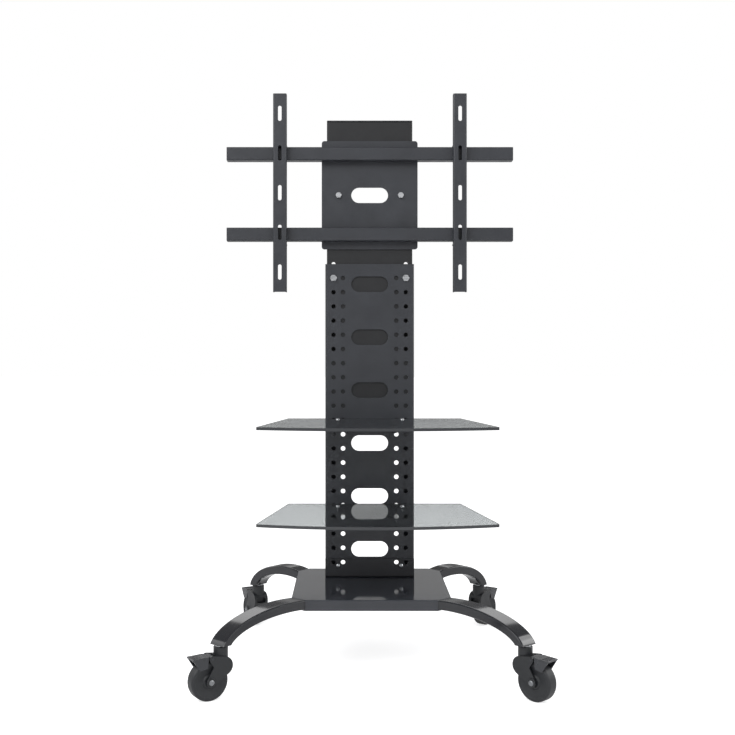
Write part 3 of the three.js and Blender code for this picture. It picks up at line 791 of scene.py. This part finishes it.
def bolt_along_y(bolt, x, y, z):
    """Turns a bolt so that its head faces -Y, and puts the head's seat at y."""
    move(bolt, Matrix.Rotation(-math.pi / 2, 4, "X"))
    return on_column(shift(bolt, x, y, z))


# Column, foot bracket and mast

def channel(half, front, rear):
    """The outer and the inner path of a sheet bent to a channel that is open to the rear."""
    inner = half - SHEET
    back = front + SHEET
    path = [(half, rear), (half, front), (-half, front), (-half, rear)]
    inside = [(inner, rear), (inner, back), (-inner, back), (-inner, rear)]
    return path, inside


def hole_pairs(z, low, high):
    """Tools for the inner and the outer hole on both sides, in one row."""
    return [rod(HOLE_RADIUS, low, high, x * side, z, "y", HOLE_STEPS)
            for x in (INNER_HOLE, OUTER_HOLE) for side in (-1, 1)]


def foot_screw_holes(low, high):
    z = FIRST_HOLE - SCREW_ROW_DROP
    return sides(lambda side: rod(SCREW_HOLE_RADIUS, low, high, side * SCREW_HOLE_X, z, "y",
                                  SCREW_HOLE_STEPS))


def frame_bolt_holes(low, high):
    return sides(lambda side: rod(FRAME_BOLT_HOLE, low, high, side * FRAME_BOLT_X, MOUNT_CENTRE, "y",
                                  BOLT_HOLE_STEPS))


def mount_slot(low, high):
    return prism(slot_outline(0, MOUNT_CENTRE, SLOT_WIDTH, SLOT_HEIGHT), low, high, "y")


def make_column():
    path, inside = channel(COLUMN_HALF, 0, COLUMN_DEPTH - SHEET - GAP)
    body = prism(sheet_section(path, inside, BEND), COLUMN_BOTTOM, COLUMN_TOP)
    low = -OVERRUN
    high = SHEET + OVERRUN
    tools = []
    for k in range(HOLE_ROWS):
        tools += hole_pairs(FIRST_HOLE + k * HOLE_PITCH, low, high)
    tools += foot_screw_holes(low, high)
    for k in range(SLOT_ROWS):
        outline = slot_outline(0, FIRST_SLOT + k * SLOT_PITCH, SLOT_WIDTH, SLOT_HEIGHT)
        tools.append(prism(outline, low, high, "y"))
    column = soften(cut(body, tools), EDGE_ROUND)
    column = install(on_column(column), "outer_column", POWDER)
    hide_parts("column_wall_left", "column_wall_right")


def make_lip(side, hand):
    ends = between(side, COLUMN_HALF, COLUMN_HALF - LIP)
    strip = block(*ends, COLUMN_DEPTH - SHEET, COLUMN_DEPTH, COLUMN_BOTTOM, COLUMN_TOP)
    install(on_column(soften(strip, LIP_ROUND)), f"column_lip_{hand}", POWDER)


def make_mast():
    path, inside = channel(MAST_HALF, MAST_FRONT, MAST_REAR)
    body = prism(sheet_section(path, inside, BEND), MAST_BOTTOM, MAST_TOP)
    back = MAST_FRONT + SHEET + OVERRUN
    highest = LOCK_ROW + HOLE_PITCH
    tools = [rod(LOCK_HOLE, 0, back, side * OUTER_HOLE, highest - k * HOLE_PITCH, "y", BOLT_HOLE_STEPS)
             for k in range(LOCK_STEPS) for side in (-1, 1)]
    tools += frame_bolt_holes(0, back)
    tools.append(mount_slot(0, back))
    mast = soften(cut(body, tools), EDGE_ROUND)
    # The mast takes the near-black painted shade.
    install(on_column(mast), "inner_mast", MAST_PAINTED_SHADE)


def make_mast_cap():
    half = MAST_HALF
    seat = MAST_TOP + GAP
    cap = block(-half, half, MAST_FRONT, MAST_REAR, seat, seat + CAP_HEIGHT)
    soften(cap, CAP_ROUND, 3)
    reach = half - SHEET - GAP
    front = MAST_FRONT + SHEET + GAP
    plug = block(-reach, reach, front, MAST_REAR, MAST_TOP - CAP_PLUG_DEPTH, seat + OVERLAP)
    install(on_column(join([cap, plug])), "mast_cap", PLASTIC)


def foot_cheeks(floor):
    """The two upright plates of the foot bracket inside the column."""
    rear = COLUMN_DEPTH - SHEET - GAP
    near = SHEET + GAP
    profile = [(near, floor - OVERLAP), (rear, floor - OVERLAP), (rear, floor + SHEET),
               (near + SHEET, CHEEK_TOP), (near, CHEEK_TOP)]
    return sides(lambda side: prism(profile, *between(side, CHEEK_FACE, CHEEK_FACE - SHEET), "x"))


def make_foot():
    front = -GAP - SHEET
    floor = FLANGE_BOTTOM + SHEET
    path = [(FLANGE_DEPTH, FLANGE_BOTTOM), (front, FLANGE_BOTTOM), (front, APRON_TOP)]
    inside = [(FLANGE_DEPTH, floor), (-GAP, floor), (-GAP, APRON_TOP)]
    body = prism(sheet_section(path, inside, FOOT_BEND), -COLUMN_HALF, COLUMN_HALF, "x")
    join([body, *foot_cheeks(floor)])
    tools = hole_pairs(FIRST_HOLE, front - OVERRUN, OVERRUN - GAP)
    tools += foot_screw_holes(front - OVERRUN, OVERRUN - GAP)
    foot = soften(cut(body, tools), EDGE_ROUND)
    install(on_column(foot), "foot_bracket", DARKER_GREY)


def make_fasteners(side, hand):
    screw = pan_screw(**SMALL_SCREW, reach=9)
    shift(screw, side * SCREW_HOLE_X, HEAD_SEAT, FIRST_HOLE - SCREW_ROW_DROP)
    install(on_column(screw), f"foot_screw_{hand}", ZINC)
    lock = hex_bolt(head_radius=8, head_height=5, radius=4, reach=14.8)
    bolt_along_y(lock, side * OUTER_HOLE, -GAP, LOCK_ROW)
    install(lock, f"mast_lock_bolt_{hand}", ZINC)
    bolt = hex_bolt(head_radius=7, head_height=5, radius=4, reach=10.9)
    bolt_along_y(bolt, side * FRAME_BOLT_X, FRAME_BOLT_SEAT, MOUNT_CENTRE)
    install(bolt, f"frame_bolt_{hand}", ZINC)


# Shelves

def make_glass(shelf, top):
    half = GLASS_FRONT_HALF
    radius = (half * half + GLASS_BOW * GLASS_BOW) / (2 * GLASS_BOW)
    centre = radius - GLASS_CORNER - GLASS_BOW
    reach = math.asin(half / radius)
    bow = arc(0, centre, radius, radius, -math.pi / 2 - reach, -math.pi / 2 + reach, 64)
    outline = bow + [(GLASS_BACK_HALF, -GAP), (-GLASS_BACK_HALF, -GAP)]
    front = [GLASS_FRONT_ROUND] + [0] * (len(bow) - 2) + [GLASS_FRONT_ROUND]
    radii = front + [GLASS_BACK_ROUND] * 2
    sheet = shift(prism(rounded(outline, radii, 5), top - GLASS, top), GLASS_SHIFT, 0, 0)
    cut(sheet, glass_screw_holes(top))
    soften(sheet, GLASS_EDGE_ROUND, limit=60)
    pane = install(on_column(sheet), f"{shelf}_glass", GLASS_LOOK)
    # Faces steeper than EDGE_STEEPNESS take the edges' painted shade.
    pane.data.materials.append(GLASS_EDGE_SHADE)
    for face in pane.data.polygons:
        face.material_index = 1 if abs(face.normal.z) < EDGE_STEEPNESS else 0


def glass_screw_holes(top):
    low = top - 2 * GLASS - OVERRUN
    high = top + OVERRUN
    return sides(lambda side: rod(GLASS_SCREW_HOLE, low, high, side * GLASS_SCREW_X, GLASS_SCREW_Y))


def bolt_row(top):
    """The lowest row of column holes that the flange of a shelf bracket covers."""
    low = top - GLASS - GAP - BRACKET_HEIGHT + HOLE_RADIUS
    return FIRST_HOLE + math.ceil((low - FIRST_HOLE) / HOLE_PITCH) * HOLE_PITCH


def bracket_body(ceiling, front):
    tip = front - TRAY_DEPTH
    flange = block(-BRACKET_HALF, BRACKET_HALF, front, -GAP, ceiling - BRACKET_HEIGHT, ceiling)
    tray = block(-TRAY_HALF, TRAY_HALF, tip, -GAP, ceiling - SHEET, ceiling)
    lip = [(front / 2, ceiling), (tip, ceiling), (tip, ceiling - TRAY_LIP_END),
           (front / 2, ceiling - TRAY_LIP)]
    lips = sides(lambda side: prism(lip, *between(side, TRAY_HALF, TRAY_HALF - SHEET), "x"))
    wings = block(-WING_HALF, WING_HALF, -WING_DEPTH, HAIR - GAP, ceiling - SHEET + HAIR, ceiling - HAIR)
    return join([flange, tray, wings, *lips])


def make_bracket(shelf, top):
    ceiling = top - GLASS - GAP
    front = -GAP - SHEET
    body = bracket_body(ceiling, front)
    row = bolt_row(top)
    floor = ceiling - BRACKET_HEIGHT
    low = front - OVERRUN
    high = OVERRUN - GAP
    tools = [rod(radius, low, high, side * x, row, "y", HOLE_STEPS)
             for x, radius in ((INNER_HOLE, HOLE_RADIUS), (OUTER_HOLE, BRACKET_BOLT_HOLE))
             for side in (-1, 1)]
    tools.append(block(-NOTCH_HALF, NOTCH_HALF, low, high, floor - OVERRUN, floor + NOTCH_HEIGHT))
    bracket = soften(cut(body, tools + glass_screw_holes(top)), EDGE_ROUND)
    install(on_column(bracket), f"{shelf}_bracket", POWDER)


def make_shelf_screws(shelf, top):
    for side, hand in HANDS:
        bolt = pan_screw(radius=3.6, head_radius=5, head_height=2, reach=6.6)
        shift(bolt, side * OUTER_HOLE, HEAD_SEAT, bolt_row(top))
        install(on_column(bolt), f"{shelf}_bolt_{hand}", DARKER_GREY)
        screw = pan_screw(**SMALL_SCREW, reach=15.6)
        move(screw, Matrix.Rotation(-math.pi / 2, 4, "X"))
        shift(screw, side * GLASS_SCREW_X, GLASS_SCREW_Y, top + GAP)
        install(on_column(screw), f"{shelf}_glass_screw_{hand}", ZINC)


# Rails and hook arms

def rail(z):
    low = z - RAIL_HEIGHT / 2
    high = z + RAIL_HEIGHT / 2
    t = RAIL_SHEET
    path = [(FRAME_BACK, low), (RAIL_FRONT, low), (RAIL_FRONT, high), (FRAME_BACK, high)]
    inside = [(FRAME_BACK, low + t), (RAIL_FRONT + t, low + t),
              (RAIL_FRONT + t, high - t), (FRAME_BACK, high - t)]
    return prism(sheet_section(path, inside, RAIL_BEND), -RAIL_HALF, RAIL_HALF, "x")


def make_rail_frame():
    low = MOUNT_CENTRE - FRAME_RISE
    high = MOUNT_CENTRE + FRAME_RISE
    square = [(-FRAME_HALF, low), (FRAME_HALF, low), (FRAME_HALF, high), (-FRAME_HALF, high)]
    plate = prism(rounded(square, FRAME_CORNER), FRAME_FRONT, FRAME_BACK, "y")
    body = join([plate, *[rail(z) for z in RAIL_ROWS]])
    ends = (-OVERRUN, FRAME_BACK + OVERRUN)
    tools = [*frame_bolt_holes(*ends), mount_slot(*ends)]
    body = soften(cut(body, tools), EDGE_ROUND)
    install(on_column(body), "rail_frame", POWDER)


def arm_channel(x):
    left = x - ARM_HALF
    right = x + ARM_HALF
    t = ARM_SHEET
    path = [(left, ARM_BACK), (left, ARM_FRONT), (right, ARM_FRONT), (right, ARM_BACK)]
    inside = [(left + t, ARM_BACK), (left + t, ARM_FRONT + t), (right - t, ARM_FRONT + t),
              (right - t, ARM_BACK)]
    return prism(sheet_section(path, inside, ARM_BEND), ARM_BOTTOM, ARM_TOP)


def arm_hook(left, right):
    """The hook that reaches over the upper rail and down behind it."""
    base = RAIL_ROWS[1] + RAIL_HEIGHT / 2 + GAP
    near = FRAME_BACK + GAP
    far = near + HOOK
    front = ARM_FRONT + OVERLAP
    outline = [(front, base), (near, base), (near, base - HOOK_GRIP), (far, base - HOOK_GRIP),
               (far, base + HOOK), (front, base + HOOK)]
    return prism(rounded(outline, HOOK_ROUNDS, 4), left, right, "x")


def make_arm(side, hand):
    x = side * ARM_X
    left = x - ARM_HALF + HOOK_INSET
    right = x + ARM_HALF - HOOK_INSET
    tab_top = RAIL_ROWS[0] - RAIL_HEIGHT / 2 - TAB_DROP
    tab = block(left, right, ARM_FRONT + OVERLAP, ARM_BACK + TAB_REACH, tab_top - TAB_THICK, tab_top)
    body = join([arm_channel(x), arm_hook(left, right), tab])
    first = ARM_BOTTOM + ARM_SLOT_PITCH / 2
    tools = [prism(slot_outline(x, first + k * ARM_SLOT_PITCH, ARM_SLOT_WIDTH, ARM_SLOT_HEIGHT),
                   ARM_FRONT - OVERRUN, ARM_FRONT + ARM_SHEET + OVERRUN, "y") for k in range(ARM_SLOTS)]
    low = tab_top - TAB_THICK - OVERRUN
    tools.append(rod(ARM_SCREW_HOLE, low, tab_top + OVERRUN, x, ARM_SCREW_Y))
    body = soften(cut(body, tools), EDGE_ROUND)
    install(on_column(body), f"hook_arm_{hand}", POWDER)


def make_arm_screw(side, hand):
    """A small star knob under the lower rail."""
    tip = RAIL_ROWS[0] - RAIL_HEIGHT / 2 - GAP
    top = tip - KNOB_DROP
    turns = [2 * math.pi * i / KNOB_STEPS for i in range(KNOB_STEPS)]
    reaches = [KNOB_RADIUS + KNOB_WAVE * math.cos(KNOB_LOBES * t) for t in turns]
    outline = [(r * math.cos(t), r * math.sin(t)) for r, t in zip(reaches, turns)]
    knob = soften(prism(outline, top - KNOB_HEIGHT, top), KNOB_ROUND, 3, 60)
    shank = rod(ARM_SCREW_RADIUS, top - KNOB_HEIGHT / 2, tip, 0, 0)
    screw = shift(join([knob, shank]), side * ARM_X, ARM_SCREW_Y, 0)
    install(on_column(screw), f"arm_lock_screw_{hand}", PLASTIC)


# Casters, drawn about their stem and trailing to -X

def belt(x0, z0, r0, x1, z1, r1, steps=22):
    """The outline of a belt around two wheels."""
    line = math.atan2(z1 - z0, x1 - x0)
    tilt = math.acos((r0 - r1) / math.hypot(x1 - x0, z1 - z0))
    first = arc(x0, z0, r0, r0, line + tilt, line + 2 * math.pi - tilt, steps)
    second = arc(x1, z1, r1, r1, line - tilt, line + tilt, steps)
    return first + second


def mirrored(profile):
    return [(radius, -height) for radius, height in reversed(profile)]


def caster_wheel():
    r = WHEEL_RADIUS
    h = WHEEL_HALF
    s = WHEEL_SHOULDER
    shoulder = arc(r - s, h - s, s, s, 0, math.pi / 2, 6)
    dish = [(r - 7, h), (r - 8.5, h - 1), (22, h - 2.4), (14.5, h - 2.6), (12.5, h - 0.6)]
    hub = [(11, h), (5, h), (AXLE_HOLE, h - 0.7)]
    half = shoulder + dish + hub
    wheel = lathe([(r, 0), *half, *mirrored(half)], WHEEL_STEPS, "y")
    return shift(wheel, -TRAIL, 0, WHEEL_RADIUS)


def caster_axle():
    seat = BOSS_REACH + GAP
    dome = [(AXLE_HEAD_RADIUS, seat), (5.2, seat + 1.1), (4, seat + 1.7), (2, seat + 2), (0, seat + 2)]
    half = [(AXLE_RADIUS, seat - SLIVER), (AXLE_HEAD_RADIUS, seat - SLIVER), *dome]
    axle = lathe(mirrored(half) + half, 32, "y")
    return shift(axle, -TRAIL, 0, WHEEL_RADIUS)


def caster_stem():
    seat = LEG_END - GAP
    low = seat - COLLAR
    top = LEG_END + PLUG_RISE
    bevel = COLLAR_BEVEL
    kingpin = [(0, KINGPIN_LOW), (KINGPIN_RADIUS - 0.6, KINGPIN_LOW), (KINGPIN_RADIUS, KINGPIN_LOW + 0.8),
               (KINGPIN_RADIUS, low)]
    collar = [(COLLAR_RADIUS - bevel, low), (COLLAR_RADIUS, low + bevel), (COLLAR_RADIUS, seat - bevel),
              (COLLAR_RADIUS - bevel, seat)]
    plug = [(PLUG_RADIUS, seat), (PLUG_RADIUS, top - 0.5), (PLUG_RADIUS - 0.5, top), (0, top)]
    return lathe(kingpin + collar + plug, 40)


def caster_fork():
    cheek = belt(0, CROWN_HEIGHT, CROWN_RADIUS, -TRAIL, WHEEL_RADIUS, BOSS_RADIUS)
    ear = belt(0, CROWN_HEIGHT, CROWN_RADIUS, -PIVOT_X, PIVOT_Z, EAR_RADIUS)
    body = prism(cheek, -FORK_HALF, FORK_HALF, "y")
    ears = prism(ear, SLIVER - FORK_HALF, FORK_HALF - SLIVER, "y")
    join([body, ears])
    soften(body, FORK_ROUND, 4, 50)
    join([body, fork_neck(), fork_boss()])
    across = (-BOSS_REACH - OVERRUN, BOSS_REACH + OVERRUN)
    tools = [rod(WHEEL_RADIUS + WHEEL_CLEARANCE, -SLOT_HALF, SLOT_HALF, -TRAIL, WHEEL_RADIUS, "y", 64),
             block(-TIP_X, SHEET - CROWN_RADIUS, SLIVER - SLOT_HALF, SLOT_HALF - SLIVER, 0, LEG_END),
             rod(AXLE_HOLE, *across, -TRAIL, WHEEL_RADIUS, "y"),
             rod(PIVOT_HOLE, *across, -PIVOT_X, PIVOT_Z, "y", BOLT_HOLE_STEPS),
             rod(STEM_HOLE, WHEEL_RADIUS, LEG_END, 0, 0), front_recess()]
    for tool in tools:
        combine(body, tool, "DIFFERENCE")
    return body


def fork_neck():
    """The round neck between the crown and the leg's end."""
    top = LEG_END - COLLAR - 2 * GAP
    return lathe([(0, CROWN_HEIGHT), (NECK_RADIUS, CROWN_HEIGHT), (NECK_RADIUS, top - 1),
                  (NECK_RADIUS - 1, top), (0, top)], 48)


def fork_boss():
    """The round boss of the axle, with a bevel at both ends."""
    half = [(BOSS_RADIUS, BOSS_REACH - 1), (BOSS_RADIUS - 1, BOSS_REACH), (0, BOSS_REACH)]
    return shift(lathe(mirrored(half) + half, 40, "y"), -TRAIL, 0, WHEEL_RADIUS)


def front_recess():
    """The moulded hollow in the front of the crown."""
    low = CROWN_HEIGHT - RECESS_RISE
    high = CROWN_HEIGHT + RECESS_RISE
    face = [(-RECESS_HALF, low), (RECESS_HALF, low), (RECESS_HALF, high), (-RECESS_HALF, high)]
    return prism(rounded(face, 2, 4), CROWN_RADIUS - RECESS_DEPTH, CROWN_RADIUS + OVERRUN, "x")


def pedal_shoe():
    """The hub on the pivot and the block below the blade, inside the fork's slot."""
    x = -PIVOT_X
    z = PIVOT_Z
    top = PEDAL_TOP - SINK
    half = SLOT_HALF - 2 * GAP
    hub = rod(HUB_RADIUS, -half, half, x, z, "y")
    outline = [(x + HUB_RADIUS, top), (x + HUB_RADIUS, z), (x - 9, z - 2.2), (x - 22, z - 4.6),
               (x - 22, top - TIP_DROP)]
    inner = half - 2 * SLIVER
    return join([hub, prism(rounded(outline, [0.6, 0.6, 0, 1.2, 0.4], 4), -inner, inner, "y")])


def pedal_blade():
    top = PEDAL_TOP
    tip = top - TIP_DROP
    outline = [(BLADE_ROOT, top), (BLADE_ROOT, top - BLADE_THICK), (-TIP_X, tip - BLADE_THICK),
               (-TIP_X, tip)]
    blade = prism(rounded(outline, [0.5, 0.5, 1.4, 1.0], 4), -BLADE_HALF, BLADE_HALF, "y")
    return soften(blade, BLADE_ROUND, 3, 60)


def pedal_skirts():
    """The wedges that hang from the blade on both sides of the wheel."""
    x = -PIVOT_X
    z = PIVOT_Z
    middle = PEDAL_TOP - BLADE_THICK / 2
    outline = [(BLADE_ROOT - GAP, middle), (x - 9, z - 16), (x - 25, z - 19),
               (GAP - TIP_X, middle - TIP_DROP)]
    wedge = rounded(outline, [0.3, 2, 3, 0.3], 5)
    return sides(lambda side: prism(wedge, *between(side, SKIRT_NEAR, SKIRT_FAR), "y"))


def pedal_rib(x):
    """A rib across the blade, let into its sloping top."""
    slope = TIP_DROP / (TIP_X + BLADE_ROOT)
    rib = block(-RIB_HALF_WIDTH, RIB_HALF_WIDTH, -RIB_HALF_LENGTH, RIB_HALF_LENGTH, -RIB_SINK, RIB_RISE)
    return shift(rib, x, 0, PEDAL_TOP + (x - BLADE_ROOT) * slope)


def brake_pedal():
    trunnions = rod(TRUNNION_RADIUS, -FORK_HALF, FORK_HALF, -PIVOT_X, PIVOT_Z, "y", BOLT_HOLE_STEPS)
    ribs = [pedal_rib(x) for x in RIB_PLACES]
    return join([pedal_shoe(), pedal_blade(), trunnions, *pedal_skirts(), *ribs])


def make_caster(leg):
    side, end = LEGS[leg]
    angle = -end * CASTER_TURNS[leg] if side < 0 else 180 + end * CASTER_TURNS[leg]
    place = stem_place(leg)
    put = Matrix.Translation((place.x, place.y, 0)) @ Matrix.Rotation(math.radians(angle), 4, "Z")
    for node, make, look, slot in (("caster_stem", caster_stem, ZINC, "zinc"),
                                   ("caster_fork", caster_fork, PLASTIC, "black_plastic"),
                                   ("caster_wheel", caster_wheel, TREAD, "wheel"),
                                   ("caster_axle", caster_axle, AXLE_LOOK, "zinc"),
                                   ("brake_pedal", brake_pedal, PEDAL_SHEEN, "black_plastic")):
        install(move(make(), put), f"{node}_{leg}", look)


# Camera, light and floor

def place_camera():
    data = bpy.data.cameras.new("camera")
    data.sensor_width = CAMERA_SENSOR
    data.lens = CAMERA_LENS
    data.shift_x, data.shift_y = CAMERA_SHIFT
    data.clip_end = CAMERA_REACH
    camera = bpy.data.objects.new("camera", data)
    camera.location = CAMERA_PLACE
    camera.rotation_euler = (math.pi / 2, 0, 0)
    bpy.context.scene.collection.objects.link(camera)
    bpy.context.scene.camera = camera


def area_light(name, place, target, size, power, matt=True):
    """A soft lamp aimed at a target. Without matt it shows in gloss alone."""
    data = bpy.data.lights.new(name, "AREA")
    data.shape = "RECTANGLE"
    data.size, data.size_y = size
    data.energy = power
    light = bpy.data.objects.new(name, data)
    light.location = place
    direction = Vector(target) - Vector(place)
    light.rotation_euler = direction.to_track_quat("-Z", "Y").to_euler()
    light.visible_camera = False
    light.visible_diffuse = matt
    bpy.context.scene.collection.objects.link(light)


def maths(tree, operation, one, two):
    """A maths node on a socket and either another socket or a number."""
    node = tree.nodes.new("ShaderNodeMath")
    node.operation = operation
    tree.links.new(one, node.inputs[0])
    if isinstance(two, float):
        node.inputs[1].default_value = two
    else:
        tree.links.new(two, node.inputs[1])
    return node.outputs["Value"]


def background_rays(tree):
    """One for rays from the camera or through glass, and one for rays off gloss, or else zero."""
    path = tree.nodes.new("ShaderNodeLightPath")
    shown = maths(tree, "MAXIMUM", path.outputs["Is Camera Ray"], path.outputs["Is Transmission Ray"])
    return shown, path.outputs["Is Glossy Ray"]


def mix_colour(tree, factor, low, high):
    """Goes from low to high with the factor. Each is a colour or a socket."""
    node = tree.nodes.new("ShaderNodeMix")
    node.data_type = "RGBA"
    tree.links.new(factor, node.inputs[0])
    for socket, value in ((node.inputs[6], low), (node.inputs[7], high)):
        if isinstance(value, tuple):
            socket.default_value = value
        else:
            tree.links.new(value, socket)
    return node.outputs[2]


def grey(level):
    return (level, level, level, 1)


def studio_band(tree):
    """What gloss sees of the room, by height: a dim lower part, a bright band and a dim top."""
    coords = tree.nodes.new("ShaderNodeTexCoord")
    parts = tree.nodes.new("ShaderNodeSeparateXYZ")
    tree.links.new(coords.outputs["Generated"], parts.inputs["Vector"])
    ramp = tree.nodes.new("ShaderNodeValToRGB")
    tree.links.new(parts.outputs["Z"], ramp.inputs["Fac"])
    stops = ramp.color_ramp.elements
    stops[0].color = grey(ROOM_STOPS[0][1])
    stops[1].color = grey(ROOM_STOPS[-1][1])
    for position, level in ROOM_STOPS[1:-1]:
        stops.new(position).color = grey(level)
    scaled = tree.nodes.new("ShaderNodeVectorMath")
    scaled.operation = "SCALE"
    scaled.inputs["Scale"].default_value = ROOM_GLOSS
    tree.links.new(ramp.outputs["Color"], scaled.inputs[0])
    return scaled.outputs["Vector"]


def light_world():
    world = bpy.data.worlds.new("studio")
    bpy.context.scene.world = world
    world.use_nodes = True
    tree = world.node_tree
    shown, glossy = background_rays(tree)
    lighting = mix_colour(tree, glossy, ROOM_LIGHT, studio_band(tree))
    colour = mix_colour(tree, shown, lighting, WHITE)
    tree.links.new(colour, tree.nodes["Background"].inputs["Color"])


def glowing(name, level):
    """A matt grey material that can glow white, and the socket for how strongly it does."""
    material = bpy.data.materials.new(name)
    material.use_nodes = True
    inputs = material.node_tree.nodes["Principled BSDF"].inputs
    inputs["Base Color"].default_value = grey(level)
    inputs["Roughness"].default_value = 1
    inputs["Specular IOR Level"].default_value = 0
    inputs["Emission Color"].default_value = WHITE
    return material, inputs["Emission Strength"]


def lay_floor():
    bm = bmesh.new()
    half = FLOOR_HALF
    corners = [(-half, -half), (half, -half), (half, half), (-half, half)]
    bm.faces.new([bm.verts.new((x, y, 0)) for x, y in corners])
    floor = to_object(bm)
    floor.name = "floor"
    material, glow = glowing("floor_look", FLOOR_GREY)
    tree = material.node_tree
    shown, glossy = background_rays(tree)
    rays = maths(tree, "MAXIMUM", shown, maths(tree, "MULTIPLY", glossy, FLOOR_LIFT_IN_GLOSS))
    tree.links.new(maths(tree, "MULTIPLY", rays, FLOOR_LIFT), glow)
    floor.data.materials.append(material)


def hang_cloths():
    """Two dark cloths behind the stand, one above the other, that only gloss sees."""
    bm = bmesh.new()
    half = CLOTH_HALF
    for low, high in CLOTH_BANDS:
        corners = [(-half, low), (half, low), (half, high), (-half, high)]
        bm.faces.new([bm.verts.new((x, CLOTH_Y, z)) for x, z in corners])
    cloth = to_object(bm)
    cloth.name = "cloth"
    material, glow = glowing("cloth_look", 0)
    glow.default_value = CLOTH_GLOW
    cloth.data.materials.append(material)
    cloth.visible_camera = False
    cloth.visible_diffuse = False
    cloth.visible_transmission = False
    cloth.visible_shadow = False


place_camera()
light_world()
area_light("key", (-2.2, -2.6, 3.0), (0, 0, 0.4), (2.4, 1.8), 75)
area_light("fill", (2.6, -1.4, 1.6), (0, 0, 0.4), (1.6, 1.6), 14)
area_light("side", (2.3, 0.5, 1.35), (0.27, -0.26, 0.12), (1.0, 1.1), 12, matt=False)
lay_floor()
hang_cloths()
bpy.context.scene.view_settings.view_transform = "Standard"

make_plate()
for leg_name in LEGS:
    make_leg(leg_name)
    make_caster(leg_name)
make_foot()
make_column()
hands(make_lip)
make_mast()
make_mast_cap()
hands(make_fasteners)
for shelf_name, shelf_top in SHELF_TOPS.items():
    make_glass(shelf_name, shelf_top)
    make_bracket(shelf_name, shelf_top)
    make_shelf_screws(shelf_name, shelf_top)
make_rail_frame()
for arm_side, arm_hand in HANDS:
    make_arm(arm_side, arm_hand)
    make_arm_screw(arm_side, arm_hand)
